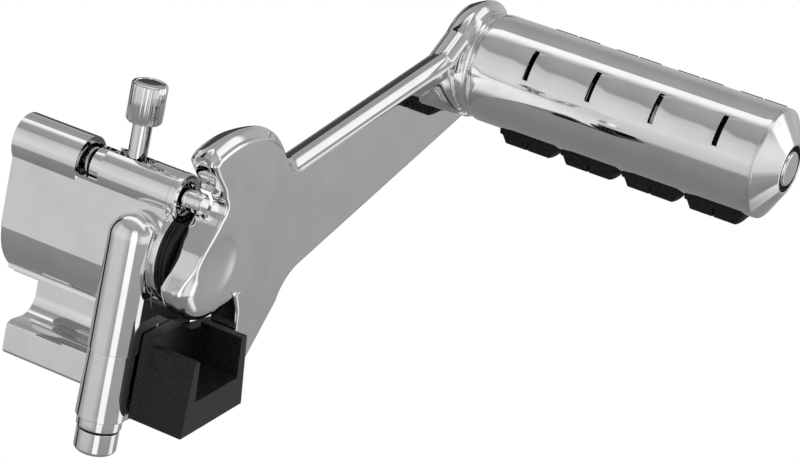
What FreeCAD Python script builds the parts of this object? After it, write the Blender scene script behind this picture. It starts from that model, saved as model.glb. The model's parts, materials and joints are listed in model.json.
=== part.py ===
import FreeCAD, Part
import math
import os
import Sketcher

# Folding passenger footpeg with its tube clamp. +Z up, +X out along the peg, +Y to the rear.
# The origin is the middle of the clamp's upper face, where the housing rests on the frame tube.

os.makedirs("parts", exist_ok=True)
doc = FreeCAD.newDocument("passenger_peg")
V = FreeCAD.Vector

# Driving sizes in millimetres and degrees. Places marked hub are measured from the pivot axis at
# the front face of the arm.
SIZES = [
    # Pivot from the origin
    ("hub_x", 49.5), ("hub_y", -6.0), ("hub_z", 25.0), ("cradle_tilt", 6.5),
    # Housing of the clamp
    ("end_x", -14.4), ("housing_len", 54.6), ("front_y", 10.9), ("rear_y", 20.0), ("rear_z", 6.0),
    ("rest_rise", 0.6), ("rest_half_len", 18.5), ("rest_half", 7.4), ("crease_z", 9.0), ("crease_step", 0.5), ("lip_radius", 18.0),
    ("lip_y", 3.1), ("lip_z", 22.6), ("lip_step", 1.0),
    # Plunger in its barrel
    ("pin_orbit", 18.385), ("pin_turn", 104.62), ("pin_rad", 3.2), ("pin_tip", 8.8), ("tip_bevel", 0.7),
    ("tip_groove", 0.35), ("bore_play", 0.1), ("barrel_rad", 7.2), ("barrel_len", 24.1),
    ("roof_rad", 7.9), ("window_len", 7.5), ("window_floor", 2.3), ("window_depth", 6.2),
    ("left_bore", 5.9), ("plug_len", 3.0), ("collar_rad", 5.4), ("collar_len", 4.4),
    ("stub_rad", 2.6), ("stub_len", 7.0), ("seat_gap", 0.3),
    ("spring_rad", 4.4), ("spring_wire", 0.45), ("spring_turns", 7),
    ("stem_x", -30.8), ("stem_rad", 2.9), ("stem_len", 10.0), ("stud_rad", 1.6), ("slot_play", 0.2),
    ("slot_end", 4.4), ("knob_rad", 5.4), ("knob_len", 12.2), ("knob_bevel", 0.9),
    ("knob_dish", 0.8), ("flute_rad", 0.55), ("flute_count", 20),
    # Leg of the housing and the clamp bolt in it
    ("leg_x", -22.0), ("leg_y", 13.2), ("leg_rad", 7.5), ("leg_top", 4.5), ("leg_len", 35.0),
    ("leg_back", 2.0), ("bolt_rad", 4.0), ("bolt_play", 0.1), ("bolt_reach", 22.5),
    # Lower jaw
    ("seam_gap", 0.1), ("boss_rad", 7.2), ("boss_foot_rad", 7.6),
    ("foot_front", 1.1), ("foot_back", 18.0), ("foot_top", 42.0), ("foot_bottom", 52.6),
    ("foot_bevel", 1.0), ("foot_nose", 1.0), ("tongue_thick", 3.7), ("tongue_top", 10.0),
    ("tongue_end", 3.0), ("guide_play", 0.15), ("foot_fillet", 6.0),
    ("sleeve_rad", 6.8), ("sleeve_len", 3.3), ("seal_rad", 6.2), ("seal_len", 0.7),
    ("bolt_head_rad", 6.4), ("bolt_head_len", 7.3), ("socket_rad", 3.6), ("socket_depth", 4.0),
    # Saddle bracket
    ("saddle_front", 4.5), ("saddle_plate", 4.0), ("saddle_gap", 0.2), ("wall_top", 25.7),
    ("saddle_bottom", 49.2), ("floor_z", 39.0), ("wall_in_left", 10.6), ("wall_in_right", 11.4),
    ("wall_out_left", 13.2), ("wall_out_right", 14.2), ("draft_left", 3.2), ("draft_right", 1.8),
    ("plate_top", 22.8), ("plate_right", 32.0), ("lug_x", 15.6), ("lug_front", 3.0),
    ("lug_back", 13.0), ("lug_bottom", 38.0), ("lug_gap", 0.05), ("screw_pitch", 7.5),
    ("screw_rad", 1.95), ("screw_head", 2.8), ("screw_head_len", 2.6), ("screw_reach", 9.0),
    # Pivot
    ("arm_thick", 9.35), ("washer_rad", 16.0), ("washer_gap", 0.05), ("pivot_rad", 5.0),
    ("pivot_depth", 18.0), ("bush_rad", 7.5), ("bush_len", 4.9), ("run_play", 0.05),
    ("pivot_head", 8.0), ("pivot_head_len", 2.2), ("cap_rad", 8.6), ("cap_thick", 0.9),
    ("dish_rad", 9.7), ("dish_depth", 1.0),
    # Arm
    ("hub_rad", 17.8), ("eye_y", 152.1), ("eye_z", 23.5), ("eye_rad", 18.3), ("eye_rise", 0.5),
    ("lock_play", 0.3), ("groove_depth", 4.15), ("arm_swing", 80.0),
    ("stop_gap", 0.4), ("tail_bottom", 42.3), ("tail_width", 3.6), ("heel_y", 36.6),
    ("heel_z", 23.6), ("toe_y", 47.4), ("toe_z", 14.9), ("belly_y", 141.0), ("belly_z", 7.5),
    ("neck_y", 129.0), ("neck_z", 29.9), ("valley_y", 41.0), ("valley_z", 19.3),
    ("lobe_rear_y", 33.5), ("lobe_rear_z", 22.3), ("lobe_top_y", 15.0), ("lobe_top_z", 36.4),
    ("lobe_tip_y", 8.3), ("lobe_tip_z", 33.2), ("lobe_rear_radius", 28.0),
    ("lobe_top_radius", 39.0), ("valley_radius", 9.0), ("heel_radius", 16.0),
    ("dish_radius", 9.0), ("cap_radius", 30.0),
    ("cap_hollow", 0.5), ("scoop_y", 103.0),
    ("scoop_z", 25.0), ("scoop_len", 50.0), ("scoop_turn", 22.5), ("scoop_slope", 15.8),
    # Peg
    ("collar_depth", 3.0), ("ring_rad", 17.2), ("ring_len", 5.0), ("wave_rad", 16.8),
    ("wave_thick", 1.0), ("shell_rad", 18.0), ("shell_wall", 2.2), ("shell_len", 100.8),
    ("core_rad", 12.0), ("rod_rad", 4.0), ("rod_play", 0.1),
    ("pad_start", 8.6), ("pad_finish", 2.6), ("pad_gap", 2.2), ("pad_half", 6.8),
    ("pad_base", 0.8), ("pad_rise", 4.0), ("pad_slope", 1.6), ("pad_below", -92.0),
    ("pad_above", 18.0), ("pad_play", 0.25), ("slot_width", 1.7), ("slot_round", 10.5),
    ("slot_turn", 53.0), ("cone_len", 6.2), ("cone_rim", 0.8), ("cone_nose", 8.3),
    ("end_bore", 7.6), ("end_seat", 2.5), ("end_washer_rad", 7.4), ("end_washer_len", 0.8),
    ("rod_head", 6.6), ("rod_head_len", 2.0), ("nut_rad", 7.5), ("nut_len", 2.8),
    ("nut_pocket", 7.9), ("nut_depth", 3.1),
]
sheet = doc.addObject("Spreadsheet::Sheet", "Sizes")
for row, (alias, number) in enumerate(SIZES, start=1):
    sheet.set(f"A{row}", alias)
    sheet.set(f"B{row}", str(number))
    sheet.setAlias(f"B{row}", alias)
doc.recompute()


class Size:
    """A length or angle: its number now, and the sheet expression that keeps it bound."""

    def __init__(self, number, text):
        self.number = float(number)
        self.text = text

    def __add__(self, other):
        other = as_size(other)
        return Size(self.number + other.number, f"({self.text} + {other.text})")

    def __sub__(self, other):
        other = as_size(other)
        return Size(self.number - other.number, f"({self.text} - {other.text})")

    def __rsub__(self, other):
        return as_size(other) - self

    def __mul__(self, other):
        other = as_size(other)
        return Size(self.number * other.number, f"({self.text} * {other.text})")

    def __truediv__(self, other):
        other = as_size(other)
        return Size(self.number / other.number, f"({self.text} / {other.text})")

    def __neg__(self):
        return Size(-self.number, f"(0 - {self.text})")

    __radd__ = __add__
    __rmul__ = __mul__


def as_size(value):
    if isinstance(value, Size):
        return value
    return Size(value, repr(float(value)) if value >= 0 else f"(0 - {-float(value)!r})")


def s(alias):
    return Size(sheet.get(alias), f"Sizes.{alias}")


def cosine(angle):
    angle = as_size(angle)
    return Size(math.cos(math.radians(angle.number)), f"cos({angle.text} * 1 deg)")


def sine(angle):
    angle = as_size(angle)
    return Size(math.sin(math.radians(angle.number)), f"sin({angle.text} * 1 deg)")


def root(square):
    return Size(math.sqrt(square.number), f"sqrt({square.text})")


def bind(obj, prop, value):
    """Set a property to a size and keep it bound to the sheet."""
    value = as_size(value)
    if "Sizes." in value.text:
        obj.setExpression(prop, value.text)
    else:
        setattr(obj, prop, value.number)


def place(obj, tilted=False):
    """Put a piece at the pivot; the pieces of the cradle and the peg lean with the clamp."""
    turn = FreeCAD.Rotation(V(1, 0, 0), s("cradle_tilt").number if tilted else 0)
    obj.Placement = FreeCAD.Placement(V(*(s(a).number for a in ("hub_x", "hub_y", "hub_z"))), turn)
    for prop, alias in (("x", "hub_x"), ("y", "hub_y"), ("z", "hub_z")):
        obj.setExpression(f"Placement.Base.{prop}", f"Sizes.{alias}")
    if tilted:
        obj.setExpression("Placement.Rotation.Angle", "Sizes.cradle_tilt")
    pieces.append(obj)
    return obj


pieces = []


def new_body(label):
    body = doc.addObject("PartDesign::Body", label)
    body.Label = label
    return body


def new_sketch(body, name, plane, offset=0.0):
    """A sketch on an origin plane of the body, moved along the plane's normal."""
    sketch = body.newObject("Sketcher::SketchObject", f"{body.Label}_{name}")
    role = f"{plane}_Plane"
    sketch.AttachmentSupport = [f for f in body.Origin.OriginFeatures if f.Role == role]
    sketch.MapMode = "FlatFace"
    offset = as_size(offset)
    sketch.AttachmentOffset = FreeCAD.Placement(V(0, 0, offset.number), FreeCAD.Rotation())
    if "Sizes." in offset.text:
        sketch.setExpression("AttachmentOffset.Base.z", offset.text)
    return sketch


def fix(sketch, kind, geometry, point, value):
    value = as_size(value)
    number = sketch.addConstraint(Sketcher.Constraint(kind, -1, 1, geometry, point, value.number))
    if "Sizes." in value.text:
        sketch.setExpression(f"Constraints[{number}]", value.text)


def draw_loop(sketch, points):
    """A closed outline. A third value in a point makes the next edge an arc of that radius."""
    corners = [(as_size(p[0]), as_size(p[1])) for p in points]
    radii = [as_size(p[2]) if len(p) > 2 else None for p in points]
    first = sketch.GeometryCount
    count = len(points)
    ends = []
    for i, radius in enumerate(radii):
        a = V(corners[i][0].number, corners[i][1].number)
        b = V(corners[(i + 1) % count][0].number, corners[(i + 1) % count][1].number)
        ends.append((2, 1) if radius is not None and radius.number < 0 else (1, 2))
        if radius is None:
            sketch.addGeometry(Part.LineSegment(a, b), False)
            continue
        r = abs(radius.number)
        half = (b - a).Length / 2
        side = V(b.y - a.y, a.x - b.x).normalize() * (1 if radius.number > 0 else -1)
        middle = (a + b) / 2 + side * (r - math.sqrt(max(r * r - half * half, 0)))
        sketch.addGeometry(Part.Arc(a, middle, b) if r == radius.number
                           else Part.Arc(b, middle, a), False)
    for i in range(count):
        after = (i + 1) % count
        sketch.addConstraint(
            Sketcher.Constraint("Coincident", first + i, ends[i][1], first + after, ends[after][0]))
    for i, (x, y) in enumerate(corners):
        fix(sketch, "DistanceX", first + i, ends[i][0], x)
        fix(sketch, "DistanceY", first + i, ends[i][0], y)
        if radii[i] is not None:
            radius = radii[i] if radii[i].number > 0 else -radii[i]
            number = sketch.addConstraint(
                Sketcher.Constraint("Radius", first + i, radius.number))
            sketch.setExpression(f"Constraints[{number}]", radius.text)


def draw_circle(sketch, x, y, radius):
    x, y, radius = as_size(x), as_size(y), as_size(radius)
    circle = Part.Circle(V(x.number, y.number, 0), V(0, 0, 1), radius.number)
    number = sketch.addGeometry(circle, False)
    fix(sketch, "DistanceX", number, 3, x)
    fix(sketch, "DistanceY", number, 3, y)
    constraint = sketch.addConstraint(Sketcher.Constraint("Radius", number, radius.number))
    sketch.setExpression(f"Constraints[{constraint}]", radius.text)


def extrude(body, kind, sketch, length, backwards=False):
    """A Pad or Pocket of a sketch; the solid must grow or shrink."""
    before = body.Shape.Volume if body.Tip else 0
    feature = body.newObject(f"PartDesign::{kind}", f"{sketch.Label}_{kind.lower()}")
    feature.Profile = sketch
    bind(feature, "Length", length)
    feature.Reversed = backwards
    doc.recompute()
    gained = body.Shape.Volume - before
    if (gained <= 0) == (kind == "Pad"):
        raise ValueError(f"{feature.Label} changes nothing: {feature.State} {gained}")
    return feature


def pad(body, name, plane, offset, length, points, backwards=False):
    sketch = new_sketch(body, name, plane, offset)
    draw_loop(sketch, points)
    return extrude(body, "Pad", sketch, length, backwards)


def pocket(body, name, plane, offset, length, points, backwards=False):
    sketch = new_sketch(body, name, plane, offset)
    draw_loop(sketch, points)
    return extrude(body, "Pocket", sketch, length, backwards)


def hole(body, name, plane, offset, length, x, y, radius, backwards=False):
    sketch = new_sketch(body, name, plane, offset)
    draw_circle(sketch, x, y, radius)
    return extrude(body, "Pocket", sketch, length, backwards)


def turn(body, name, plane, points, across, axis, groove=False, offset=0.0):
    """Revolve (along, radius) points about a line parallel to the sketch's own X or Y axis."""
    before = body.Shape.Volume if body.Tip else 0
    sketch = new_sketch(body, name, plane, offset)
    across = as_size(across)
    if axis == "H_Axis":
        draw_loop(sketch, [(p[0], across + p[1], *p[2:]) for p in points])
    else:
        draw_loop(sketch, [(across + p[1], p[0], *(-r for r in p[2:])) for p in points])
    line = sketch.addGeometry(
        Part.LineSegment(V(-1, across.number), V(1, across.number)) if axis == "H_Axis"
        else Part.LineSegment(V(across.number, -1), V(across.number, 1)), True)
    if axis == "H_Axis":
        sketch.addConstraint(Sketcher.Constraint("Horizontal", line))
        fix(sketch, "DistanceY", line, 1, across)
        fix(sketch, "DistanceX", line, 1, -1.0)
        fix(sketch, "DistanceX", line, 2, 1.0)
    else:
        sketch.addConstraint(Sketcher.Constraint("Vertical", line))
        fix(sketch, "DistanceX", line, 1, across)
        fix(sketch, "DistanceY", line, 1, -1.0)
        fix(sketch, "DistanceY", line, 2, 1.0)
    kind = "Groove" if groove else "Revolution"
    feature = body.newObject(f"PartDesign::{kind}", f"{sketch.Label}_{kind.lower()}")
    feature.Profile = sketch
    feature.ReferenceAxis = (sketch, ["Axis0"])
    feature.Angle = 360
    doc.recompute()
    gained = body.Shape.Volume - before
    if (gained <= 0) == (not groove):
        raise ValueError(f"{feature.Label} changes nothing")
    return feature



# Places that several pieces share.
under_z = -s("hub_z") + s("rest_rise")
left_x = s("end_x") - s("housing_len")
barrel_start = s("end_x") - s("barrel_len")
window_start = barrel_start - s("window_len")
pin_bore = s("pin_rad") + s("bore_play")
pin_y = s("pin_orbit") * cosine(s("pin_turn"))
pin_z = s("pin_orbit") * sine(s("pin_turn"))
leg_y = -s("leg_y")
seam_z = -(s("leg_len") - s("leg_top"))
slot_half = s("stem_rad") + s("slot_play")
front_y = -s("front_y")
guide_back = s("foot_back") + s("guide_play")
guide_front = s("foot_back") - s("tongue_thick") - s("guide_play")
arm_back = -s("arm_thick")
washer_x = arm_back - s("washer_gap")

# Housing: a block with a flat front, a curved lip over the tube and a sloping top.
housing = new_body("clamp_housing")
roof_y = pin_y + s("barrel_rad") * cosine(49)
roof_z = pin_z + s("barrel_rad") * sine(49)
lip_y = -s("lip_y")
lip_z = -s("lip_z")
brow_drop = root(s("barrel_rad") * s("barrel_rad") - (pin_y - front_y) * (pin_y - front_y))
pad(housing, "block", "YZ", left_x, s("housing_len"), [
    (front_y, pin_z - brow_drop), (front_y, -s("crease_z")),
    (front_y + s("crease_step"), -s("crease_z") - 0.3, s("lip_radius")),
    (lip_y, lip_z), (lip_y - 0.25, lip_z - s("lip_step")), (lip_y + 1.3, under_z),
    (s("rear_y"), under_z), (s("rear_y"), s("rear_z")),
    (roof_y, roof_z, s("barrel_rad")),
])
# Machined face, a little proud of the underside, that rests on the tube round the origin.
pad(housing, "rest_face", "XY", -s("hub_z"), s("rest_rise"), [
    (-s("hub_x") - s("rest_half_len"), -s("hub_y") - s("rest_half")),
    (-s("hub_x") + s("rest_half_len"), -s("hub_y") - s("rest_half")),
    (-s("hub_x") + s("rest_half_len"), -s("hub_y") + s("rest_half")),
    (-s("hub_x") - s("rest_half_len"), -s("hub_y") + s("rest_half")),
])
# The thicker roof over the spring.
roof = new_sketch(housing, "roof", "YZ", left_x)
draw_circle(roof, pin_y, pin_z, s("roof_rad"))
extrude(housing, "Pad", roof, s("housing_len") - s("barrel_len") - s("window_len"))
# The leg: a round column with a domed head, joined to the block by a flat web.
leg_head = s("leg_top") + s("leg_rad")
turn(housing, "leg", "XZ", [
    (seam_z, 0), (seam_z, s("leg_rad")), (s("leg_top"), s("leg_rad"), -s("leg_rad")),
    (leg_head, 0),
], s("leg_x"), "V_Axis", offset=s("leg_y"))
pad(housing, "web", "XY", seam_z, s("leg_len"), [
    (s("leg_x") - s("leg_rad"), leg_y), (s("leg_x") + s("leg_rad"), leg_y),
    (s("leg_x") + s("leg_rad"), s("leg_back")), (s("leg_x") - s("leg_rad"), s("leg_back")),
])
# Bores for the pin, its collar and its spring.
hole(housing, "pin_bore", "YZ", barrel_start - 1, s("barrel_len") + 2, pin_y, pin_z, pin_bore, True)
hole(housing, "spring_bore", "YZ", left_x, s("housing_len") - s("barrel_len"), pin_y, pin_z,
     s("left_bore"), True)
# The window shows the collar; the slot above the pin lets the stem travel.
pocket(housing, "window", "YZ", window_start, s("window_len"), [
    (pin_y - s("roof_rad") - 1, pin_z - s("window_floor")), (pin_y + s("window_depth"),
     pin_z - s("window_floor")), (pin_y + s("window_depth"), pin_z + s("roof_rad") + 1),
    (pin_y - s("roof_rad") - 1, pin_z + s("roof_rad") + 1),
], True)
slot_right = s("stem_x") + s("slot_end")
pocket(housing, "slot", "XY", pin_z, s("barrel_rad") + 1, [
    (barrel_start - 1, pin_y - slot_half), (slot_right, pin_y - slot_half, slot_half * 1.01),
    (slot_right, pin_y + slot_half), (barrel_start - 1, pin_y + slot_half),
], True)
# Guide for the tongue of the jaw, open below and to the left.
guide_top = -(s("tongue_top") - 1.0)
pocket(housing, "guide", "YZ", left_x - 1, s("housing_len") - s("tongue_end") + 1
       + s("guide_play"), [
    (guide_front, under_z - 1), (guide_back, under_z - 1),
    (guide_back, guide_top), (guide_front, guide_top),
], True)
# Bores for the clamp bolt, the pivot bolt and the two bracket screws.
hole(housing, "bolt_bore", "XY", seam_z - 1, s("bolt_reach") + 3, s("leg_x"), leg_y,
     s("bolt_rad") + s("bolt_play"), True)
hole(housing, "pivot_bore", "YZ", s("end_x") - s("pivot_depth") - 1, s("pivot_depth") + 2, 0, 0,
     s("pivot_rad") + s("run_play"), True)
screw_y = (s("lug_front") + s("lug_back")) / 2
lug_middle = s("end_x") - s("lug_x") / 2
for side, name in ((-1, "screw_bore_1"), (1, "screw_bore_2")):
    hole(housing, name, "XY", under_z - 1, s("screw_reach") + 2,
         lug_middle + side * s("screw_pitch") / 2, screw_y, s("screw_rad") + s("run_play"), True)
place(housing)

# Plug that closes the spring's bore and carries the spring.
plug = new_body("barrel_plug")
plug_rad = s("left_bore") - 0.02
turn(plug, "disc", "XY", [
    (left_x + 0.6, 0), (left_x + 0.6, 1.6), (left_x, 2.2), (left_x, plug_rad - 0.4),
    (left_x + 0.4, plug_rad), (left_x + s("plug_len"), plug_rad), (left_x + s("plug_len"), 0),
], pin_y, "H_Axis", offset=pin_z)
place(plug)

# Plunger pin with its collar against the barrel and a bevelled, grooved tip.
pin = new_body("plunger_pin")
collar_right = barrel_start - s("seat_gap")
collar_left = collar_right - s("collar_len")
tip_x = s("end_x") + s("pin_tip")
turn(pin, "shaft", "XY", [
    (collar_left - s("stub_len"), 0), (collar_left - s("stub_len"), s("stub_rad")),
    (collar_left, s("stub_rad")), (collar_left, s("collar_rad")),
    (collar_right - 0.5, s("collar_rad")), (collar_right, s("collar_rad") - 0.5),
    (collar_right, s("pin_rad")), (tip_x - 2.6, s("pin_rad")),
    (tip_x - 2.4, s("pin_rad") - s("tip_groove")), (tip_x - 2.0, s("pin_rad") - s("tip_groove")),
    (tip_x - 1.8, s("pin_rad")), (tip_x - s("tip_bevel"), s("pin_rad")),
    (tip_x, s("pin_rad") - s("tip_bevel")), (tip_x, 0),
], pin_y, "H_Axis", offset=pin_z)
stud_bottom = pin_z - 1.5
hole(pin, "stud_hole", "XY", stud_bottom, s("pin_rad") * 2, s("stem_x"), pin_y,
     s("stud_rad") + s("run_play"), True)
place(pin)

# Stem, screwed into the pin, and the fluted knob on it.
stem = new_body("knob_stem")
stem_bottom = pin_z + s("pin_rad") + s("run_play")
knob_bottom = pin_z + s("barrel_rad") + s("stem_len")
turn(stem, "shaft", "XZ", [
    (stud_bottom + 0.1, 0), (stud_bottom + 0.1, s("stud_rad")), (stem_bottom, s("stud_rad")),
    (stem_bottom, s("stem_rad")), (knob_bottom, s("stem_rad")), (knob_bottom, s("stud_rad")),
    (knob_bottom + s("knob_len") / 2 - 0.1, s("stud_rad")),
    (knob_bottom + s("knob_len") / 2 - 0.1, 0),
], s("stem_x"), "V_Axis", offset=-pin_y)
place(stem)

knob = new_body("knob")
knob_top = knob_bottom + s("knob_len")
turn(knob, "grip", "XZ", [
    (knob_bottom + s("knob_len") / 2, 0), (knob_bottom + s("knob_len") / 2, s("stud_rad") + 0.05),
    (knob_bottom, s("stud_rad") + 0.05), (knob_bottom, s("knob_rad") - s("knob_bevel")),
    (knob_bottom + s("knob_bevel"), s("knob_rad")), (knob_top - s("knob_bevel"), s("knob_rad")),
    (knob_top, s("knob_rad") - s("knob_bevel")), (knob_top - s("knob_dish"),
     s("knob_rad") - 2 * s("knob_bevel")), (knob_top - s("knob_dish"), 0),
], s("stem_x"), "V_Axis", offset=-pin_y)
flute = hole(knob, "flute", "XY", knob_bottom, s("knob_len"),
             s("stem_x") + s("knob_rad") + s("flute_rad") * 0.3, pin_y, s("flute_rad"), True)
flute_sketch = flute.Profile[0]
axis_sketch = new_sketch(knob, "axis", "XZ", -pin_y)
axis_line = axis_sketch.addGeometry(Part.LineSegment(V(s("stem_x").number, -1),
                                                     V(s("stem_x").number, 1)), False)
axis_sketch.addConstraint(Sketcher.Constraint("Vertical", axis_line))
fix(axis_sketch, "DistanceX", axis_line, 1, s("stem_x"))
fix(axis_sketch, "DistanceY", axis_line, 1, -1.0)
fix(axis_sketch, "DistanceY", axis_line, 2, 1.0)
flutes = knob.newObject("PartDesign::PolarPattern", "knob_flutes")
flutes.Originals = [flute]
flutes.Axis = (axis_sketch, ["Edge1"])
flutes.Angle = 360
bind(flutes, "Occurrences", s("flute_count"))
knob.Tip = flutes
doc.recompute()
place(knob)

# Coil spring between plug and collar.
spring = doc.addObject("Part::Feature", "plunger_spring")
spring.Label = "plunger_spring"
coil_left = left_x + s("plug_len") + s("spring_wire") + 0.1
coil_right = collar_left - s("spring_wire") - 0.1
coil_len = (coil_right - coil_left).number
coil = Part.makeHelix(coil_len / s("spring_turns").number, coil_len, s("spring_rad").number)
wire_ring = Part.Wire(Part.makeCircle(s("spring_wire").number, V(s("spring_rad").number, 0, 0),
                                      V(0, 1, 0)))
spring.Shape = Part.Wire(coil.Edges).makePipeShell([wire_ring], True, True)
spring_turn = FreeCAD.Rotation(V(0, 1, 0), 90)
spring.Placement = FreeCAD.Placement(
    V((s("hub_x") + coil_left).number, (s("hub_y") + pin_y).number, (s("hub_z") + pin_z).number),
    spring_turn)
pieces.append(spring)

# Lower jaw: a foot under the tube, a tongue up into the housing and a boss round the bolt.
jaw = new_body("lower_jaw")
foot_bottom = -s("foot_bottom")
foot_top = -s("foot_top")
wall_front = s("foot_back") - s("tongue_thick")
pad(jaw, "foot", "YZ", left_x, s("housing_len"), [
    (s("foot_front"), foot_bottom + s("foot_bevel")),
    (s("foot_front") + s("foot_bevel"), foot_bottom), (s("foot_back") - s("foot_bevel"), foot_bottom),
    (s("foot_back"), foot_bottom + s("foot_bevel")), (s("foot_back"), foot_top + 1),
    (s("foot_back"), foot_top + s("foot_fillet")), (wall_front, foot_top + s("foot_fillet"),
     -s("foot_fillet")), (wall_front - s("foot_fillet"), foot_top),
    (s("foot_front") + 2, foot_top), (s("foot_front"), foot_top - s("foot_nose")),
])
pad(jaw, "tongue", "YZ", left_x, s("housing_len") - s("tongue_end"), [
    (wall_front, foot_top), (s("foot_back"), foot_top), (s("foot_back"), -s("tongue_top")),
    (wall_front, -s("tongue_top")),
])
boss_top = seam_z - s("seam_gap")
turn(jaw, "boss", "XZ", [
    (boss_top, 0), (boss_top, s("boss_rad")), (foot_bottom + 0.6, s("boss_foot_rad")),
    (foot_bottom + 0.6, 0),
], s("leg_x"), "V_Axis", offset=s("leg_y"))
pad(jaw, "boss_web", "XY", foot_bottom + 0.6, boss_top - foot_bottom - 0.6, [
    (s("leg_x") - s("boss_rad"), leg_y), (s("leg_x") + s("boss_rad"), leg_y),
    (s("leg_x") + s("boss_rad"), s("leg_back")), (s("leg_x") - s("boss_rad"), s("leg_back")),
])
hole(jaw, "bolt_hole", "XY", foot_bottom, s("foot_bottom"), s("leg_x"), leg_y,
     s("bolt_rad") + s("bolt_play"), True)
place(jaw)

# Sleeve, seal and bolt under the boss.
sleeve_top = foot_bottom + 0.6
sleeve = new_body("bolt_sleeve")
turn(sleeve, "ring", "XZ", [
    (sleeve_top, s("bolt_rad") + 0.05), (sleeve_top, s("sleeve_rad")),
    (sleeve_top - s("sleeve_len"), s("sleeve_rad")),
    (sleeve_top - s("sleeve_len"), s("bolt_rad") + 0.05),
], s("leg_x"), "V_Axis", offset=s("leg_y"))
place(sleeve)
seal_top = sleeve_top - s("sleeve_len")
seal = new_body("seal_ring")
turn(seal, "ring", "XZ", [
    (seal_top, s("bolt_rad") + 0.05), (seal_top, s("seal_rad")),
    (seal_top - s("seal_len"), s("seal_rad")), (seal_top - s("seal_len"), s("bolt_rad") + 0.05),
], s("leg_x"), "V_Axis", offset=s("leg_y"))
place(seal)
head_top = seal_top - s("seal_len")
head_bottom = head_top - s("bolt_head_len")
bolt = new_body("clamp_bolt")
turn(bolt, "bolt", "XZ", [
    (head_bottom, 0), (head_bottom, s("bolt_head_rad") - 1), (head_bottom + 1, s("bolt_head_rad")),
    (head_top, s("bolt_head_rad")), (head_top, s("bolt_rad")),
    (seam_z + s("bolt_reach") - 1, s("bolt_rad")), (seam_z + s("bolt_reach"), s("bolt_rad") - 1),
    (seam_z + s("bolt_reach"), 0),
], s("leg_x"), "V_Axis", offset=s("leg_y"))
socket = new_sketch(bolt, "socket", "XY", head_bottom)
hexagon = [(s("leg_x") + s("socket_rad") * cosine(60 * i), leg_y + s("socket_rad") * sine(60 * i))
           for i in range(6)]
draw_loop(socket, hexagon)
extrude(bolt, "Pocket", socket, s("socket_depth"), True)
place(bolt)

# Saddle bracket: a U cradle on a plate, with a lug screwed to the underside of the housing.
saddle = new_body("saddle_bracket")
plate_front = s("end_x") + s("saddle_gap") + s("saddle_plate")
saddle_z = -s("saddle_bottom")
wall_z = -s("wall_top")
pad(saddle, "cradle", "YZ", plate_front, s("saddle_front") - plate_front, [
    (-s("wall_out_left"), wall_z), (-s("wall_out_left") - s("draft_left"), saddle_z),
    (s("wall_out_right") + s("draft_right"), saddle_z), (s("wall_out_right"), wall_z),
    (s("wall_in_right"), wall_z), (s("wall_in_right"), -s("floor_z")),
    (-s("wall_in_left"), -s("floor_z")), (-s("wall_in_left"), wall_z),
])
pad(saddle, "plate", "YZ", plate_front - s("saddle_plate"), s("saddle_plate"), [
    (-s("wall_out_left") - s("draft_left"), saddle_z), (s("wall_out_right"), saddle_z),
    (s("plate_right"), saddle_z + 8), (s("plate_right"), wall_z - 5), (6.7, wall_z - 0.8),
    (0.5, -s("plate_top")), (-s("wall_out_left"), -s("plate_top")),
    (-s("wall_out_left") - 0.4, wall_z),
])


def leaning(y, z):
    """A point of the upright housing in the leaning frame of the cradle."""
    lean = s("cradle_tilt")
    return (y * cosine(lean) + z * sine(lean), z * cosine(lean) - y * sine(lean))


lug_top = under_z - s("lug_gap")
pad(saddle, "lug", "YZ", s("end_x") - s("lug_x"), s("lug_x") + s("saddle_gap") + 1, [
    leaning(s("lug_front"), lug_top), leaning(s("lug_front"), -s("lug_bottom")),
    leaning(s("lug_back"), -s("lug_bottom")), leaning(s("lug_back"), lug_top),
])


def drill(body, name, base, direction, radius, length):
    """Cut a round hole that starts at a point and runs along a leaning vertical."""
    before = body.Shape.Volume
    cutter = body.newObject("PartDesign::SubtractiveCylinder", f"{body.Label}_{name}")
    bind(cutter, "Radius", radius)
    bind(cutter, "Height", length)
    turn_x = as_size(direction)
    cutter.Placement = FreeCAD.Placement(V(*(as_size(c).number for c in base)),
                                         FreeCAD.Rotation(V(1, 0, 0), turn_x.number))
    for prop, value in zip(("x", "y", "z"), base):
        cutter.setExpression(f"Placement.Base.{prop}", as_size(value).text)
    doc.recompute()
    if body.Shape.Volume >= before:
        raise ValueError(f"{cutter.Label} cuts nothing")


for side, number in ((-1, 1), (1, 2)):
    screw_x = lug_middle + side * s("screw_pitch") / 2
    y, z = leaning(screw_y, -s("lug_bottom") - 1)
    drill(saddle, f"screw_hole_{number}", (screw_x, y, z), -s("cradle_tilt"),
          s("screw_rad") + s("bore_play"), s("lug_bottom") + under_z + 2)
    drill(saddle, f"screw_seat_{number}", (screw_x, y, z), -s("cradle_tilt"),
          s("screw_head") + s("bore_play"), s("screw_head_len") + 1)
    screw = new_body(f"bracket_screw_{number}")
    head_z = -s("lug_bottom")
    turn(screw, "screw", "XZ", [
        (head_z, 0), (head_z, s("screw_head") - 0.4), (head_z + 0.4, s("screw_head")),
        (head_z + s("screw_head_len"), s("screw_head")), (head_z + s("screw_head_len"),
         s("screw_rad")), (s("screw_reach") + under_z, s("screw_rad")),
        (s("screw_reach") + under_z, 0),
    ], screw_x, "V_Axis", offset=-screw_y)
    place(screw)
place(saddle, True)

# Black ring between housing and arm, cut away where the plunger passes.
washer = new_body("friction_washer")
washer_in = s("pivot_rad") + 1.0 + s("run_play")
turn(washer, "ring", "XY", [
    (s("end_x"), washer_in), (s("end_x"), s("washer_rad")), (washer_x, s("washer_rad")),
    (washer_x, washer_in),
], 0, "H_Axis")
hole(washer, "pin_gap", "YZ", s("end_x") - 1, washer_x - s("end_x") + 2, pin_y, pin_z,
     s("pin_rad") + 2 * s("seat_gap"), True)
place(washer)

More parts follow.
